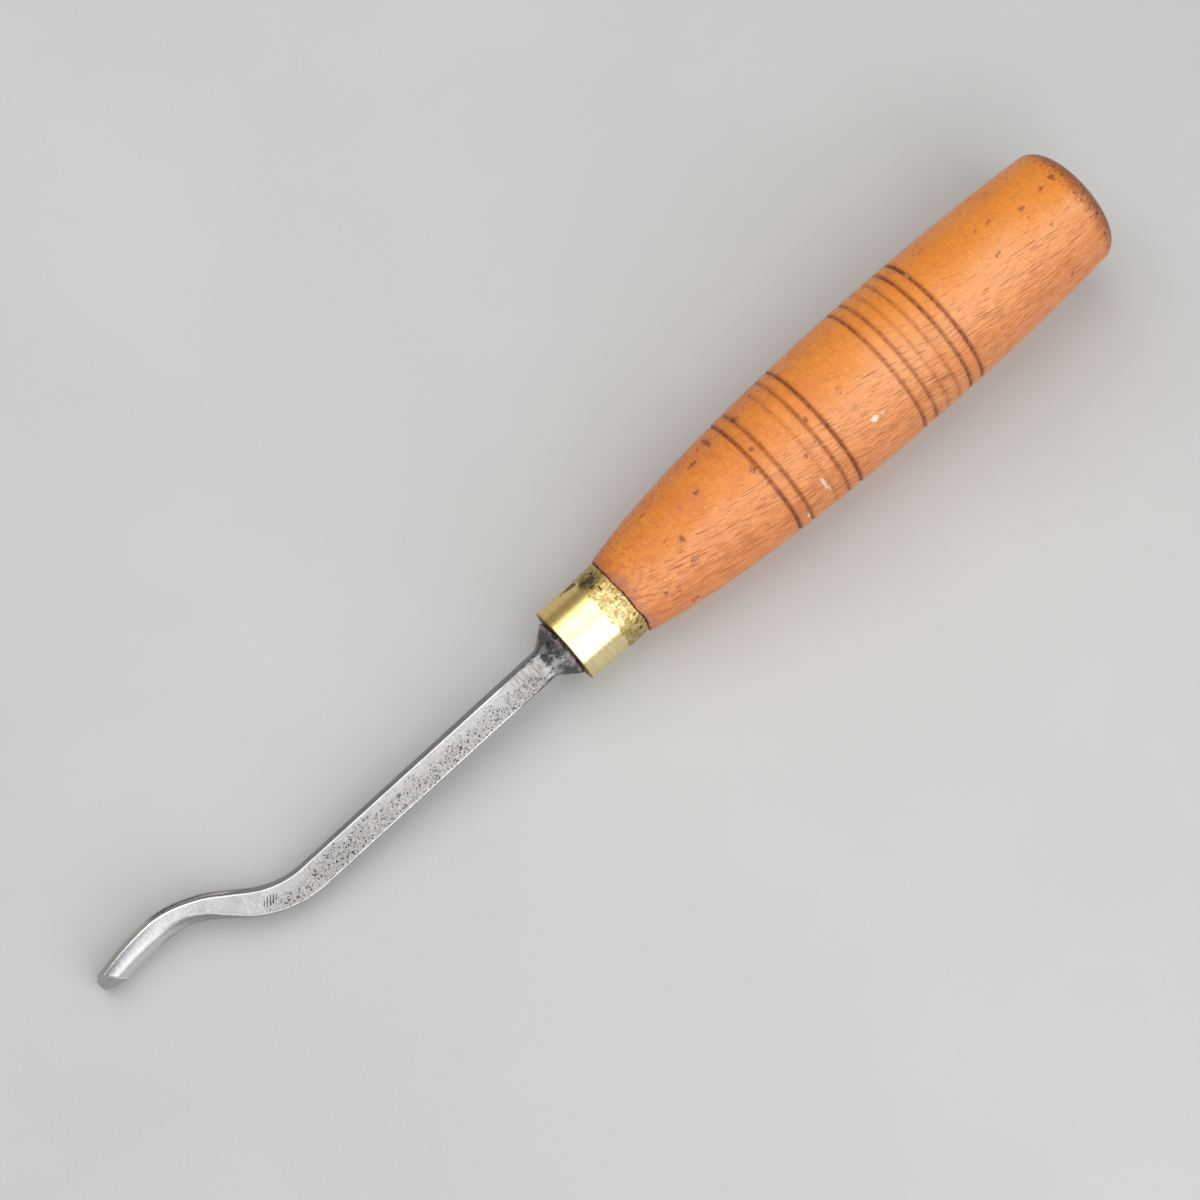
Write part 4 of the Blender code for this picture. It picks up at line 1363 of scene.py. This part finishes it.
# The next two: painted shade on the side faces, brown toward the bolster and grey toward the bend.
SIDE_SHADE_BROWN = rgb(0.075, 0.062, 0.058)
SIDE_SHADE_GREY = rgb(0.16, 0.145, 0.14)
PIT_GREY = rgb(0.022, 0.019, 0.017)
PIT_RED = rgb(0.11, 0.048, 0.038)
RUST_BROWN = rgb(0.46, 0.375, 0.335)
SCALE_BLACK = rgb(0.024, 0.023, 0.025)
# Light grey: painted highlight on the bolster's face toward the lamps.
SCALE_HIGHLIGHT_GREY = rgb(0.52, 0.55, 0.60)
SCALE_BROWN = rgb(0.10, 0.078, 0.066)
SCALE_RUBBED = rgb(0.50, 0.45, 0.41)
SCALE_BEATEN_HIGHLIGHT = rgb(0.50, 0.50, 0.52)
# How far to the side the bright strip of beaten scale looks: a painted highlight on the face toward the
# lamps.
BEATEN_HIGHLIGHT_AIM = -0.24
# Where the ground oval starts, widens and is full: place along the tool and half width.
GROUND_OVAL = ((-4.2, 1.55), (-8.9, 2.75), (-11.0, 3.6))
# The file marks: their middle, their half sizes and their spacing.
FILE_MIDDLE = (-72.5, 1.15, 2.5)
FILE_REACH = (1.9, 0.95, 1.2)
FILE_SPACING = 0.55
print("the ground oval is full at x =", GROUND_OVAL[-1][0])

# %% The steel's patterns
w = Finish("forged_steel")
x, y, z = w.split(w.place)
wheel = w.lines((5.0, 0.5, 0.5), 0.35, 0.7)
patina = w.cloud(3.0, 0.35, 0.68)
fine = w.cloud(0.27, 0.42, 0.6)
ragged = w.cloud(0.7, 0.25, 0.75)
stray = w.minus(ragged, 0.5)

low_side = w.span(w.plus(y, w.times(patina, 2.0)), 2.7, 0.2)
shank = w.times(w.span(x, -79.0, -68.0), w.span(x, -3.0, -7.0))
pitted = w.times(low_side, w.fade(shank, 0.12, 1.0))
pits = w.most(w.marks(0.4, 0.58, 0.66, 0.5)["Mark"], w.marks(0.8, 0.4, 0.22, 0.9)["Mark"])
pit_groups = w.fade(w.cloud(1.7, 0.3, 0.62), 0.35, 1.0)
pit = w.span(w.times(pits, pit_groups, pitted), 0.08, 0.5)

across_file = w.vector("DOT_PRODUCT", w.place, Vector((picture_right.x, picture_right.y, 0.0)))
strokes = w.math("SINE", w.times(across_file, 2 * math.pi / FILE_SPACING))
nicks = w.span(w.plus(strokes, w.times(stray, 0.3)), 0.1, 0.8)
nicks = w.times(nicks, w.mark_at(FILE_MIDDLE, FILE_REACH, 0.8))

end = w.span(x, -82.0, -92.0)
toward_back = w.painted("down")
# Painted shade: the side faces, the flute near the throat and the lower corners toward the crest are
# darkened.
side = w.times(w.span(w.painted("sideways"), 0.4, 0.8), w.span(x, -95.0, -88.0))
# Corners worn bright; at the end the rim and the bevel's heel are near white as painted highlight lines.
rubbed_and_glint_lines = w.span(w.plus(w.painted("rubbed_and_glint"), w.times(stray, 0.06)), 0.8, 0.96)
rust = w.times(w.painted("hollow"), w.span(x, -88.0, -97.0), w.fade(fine, 0.6, 1.0))
ground = w.times(w.painted("bevel"), w.minus(1.0, rubbed_and_glint_lines))
print("steel patterns:", len(w.tree.nodes), "nodes")

# %% The ground steel in colour
# The polished end; its back half is lightened as a painted reflection.
end_tone_with_painted_shine = w.colour(w.span(toward_back, 0.5, 0.72), STEEL_END, STEEL_BACK_PAINTED_SHINE)
pit_tone = w.colour(w.cloud(3.6, 0.46, 0.6), PIT_GREY, PIT_RED)
side_shade_tone = w.colour(w.span(x, -66.0, -48.0), SIDE_SHADE_GREY, SIDE_SHADE_BROWN)
rub_and_glint_tone = w.colour(end, STEEL_RUBBED, STEEL_PAINTED_GLINT)
# Bevel colour: lighter near the rims as painted light, darker toward the back.
bevel_tone_with_painted_light = w.colour(w.span(toward_back, 0.16, 0.42), BEVEL_RIM_LIGHTENED, BEVEL_BACK)
steel = w.layers(w.colour(pitted, STEEL_LIGHT, STEEL_GREY), (
    (STEEL_GREY, patina, 0.3),
    (STEEL_DULL, wheel, 0.25),
    (STEEL_DULL, fine, w.fade(pitted, 0.34, 0.72)),
    (STEEL_DULL, w.span(x, -17.0, -8.0), w.fade(wheel, 0.25, 0.95)),
    (end_tone_with_painted_shine, end, w.fade(fine, 0.95, 0.7)),
    (pit_tone, pit, 0.96),
    (PIT_GREY, nicks, 0.85),
    (side_shade_tone, side, w.fade(ragged, 0.6, 1.0)),
    (rub_and_glint_tone, rubbed_and_glint_lines, 0.9),
    (RUST_BROWN, rust, 0.85),
    (bevel_tone_with_painted_light, ground),
))
print("ground steel:", len(w.tree.nodes), "nodes")

# %% The black scale of the bolster
clouds = w.cloud(2.6, 0.4, 0.6)
streaks = w.lines((0.3, 0.75, 0.75), 0.45, 0.6)
scored = w.most(streaks, w.lines((1.2, 4.5, 4.5), 0.5, 0.66))
_, aim_y, aim_z = w.split(w.aim())
# The face toward the lamps is lightened: worn scale and a painted highlight.
worn = w.times(w.span(aim_z, 0.5, 0.95, 0.12, 1.0), w.span(x, -1.4, -3.8, 0.3, 1.0))
off_strip = w.math("ABSOLUTE", w.minus(w.plus(aim_y, w.times(stray, 0.3)), BEATEN_HIGHLIGHT_AIM))
beaten_highlight = w.times(w.span(off_strip, 0.34, 0.1), w.span(aim_z, 0.4, 0.8), w.fade(scored, 0.35, 1.0))
collar = w.times(w.span(x, -1.5, -0.7), w.span(ragged, 0.35, 0.6))
scale = w.layers(w.colour(clouds, SCALE_BLACK, SCALE_BROWN), (
    (SCALE_HIGHLIGHT_GREY, worn, scored),
    (SCALE_BEATEN_HIGHLIGHT, beaten_highlight),
    (SCALE_RUBBED, collar, 0.8),
))

across = w.math("MINIMUM", w.math("ABSOLUTE", y), w.math("ABSOLUTE", z))
oval = GROUND_OVAL[0][1]
for (near, near_half), (far, far_half) in zip(GROUND_OVAL, GROUND_OVAL[1:]):
    limits = {"Value": x, "From Min": near, "From Max": far, "To Min": 0.0, "To Max": far_half - near_half}
    oval = w.plus(oval, w.add("MapRange", limits).outputs["Result"])
inside = w.span(w.minus(oval, w.plus(across, w.times(stray, 0.7))), -0.2, 0.25)
bare_from = w.plus(x, w.times(w.minus(streaks, 0.5), 1.6))
bare = w.most(w.times(inside, w.span(bare_from, -3.9, -6.4)), w.span(x, -10.4, -11.2))
print("steel with its scale:", len(w.tree.nodes), "nodes")

# %% The forged blade
end_sheen = w.times(end, w.span(toward_back, 0.45, 0.8, -0.07, 0.08))
sheen = w.plus(w.fade(patina, 0.27, 0.34), end_sheen, w.times(w.most(pit, rust), 0.25))
clean = w.minus(1.0, w.times(w.most(ground, w.most(pit, rust)), 0.6))
height = w.minus(w.times(wheel, 0.2), w.most(pit, nicks))
height = w.plus(height, w.times(fine, pitted, 0.3))
rough_scale = w.plus(w.times(clouds, 2.2), w.times(streaks, 1.6))
w.dress({
    "Base Color": w.colour(bare, scale, steel),
    "Roughness": w.value(bare, w.fade(clouds, 0.26, 0.42), sheen),
    "Metallic": w.value(bare, w.fade(beaten_highlight, 0.75, 0.25), clean),
    "Normal": w.bump(w.value(bare, rough_scale, height), 0.4, 0.04 * MM),
})
blade_values = {"hollow": hollow, "rubbed_and_glint": rubbed_and_glint, "sideways": sideways, "bevel": bevel, "down": down}
skinned("forged_blade", blade_points, blade_values, w.material, "blade", sharp_angle=32.0)
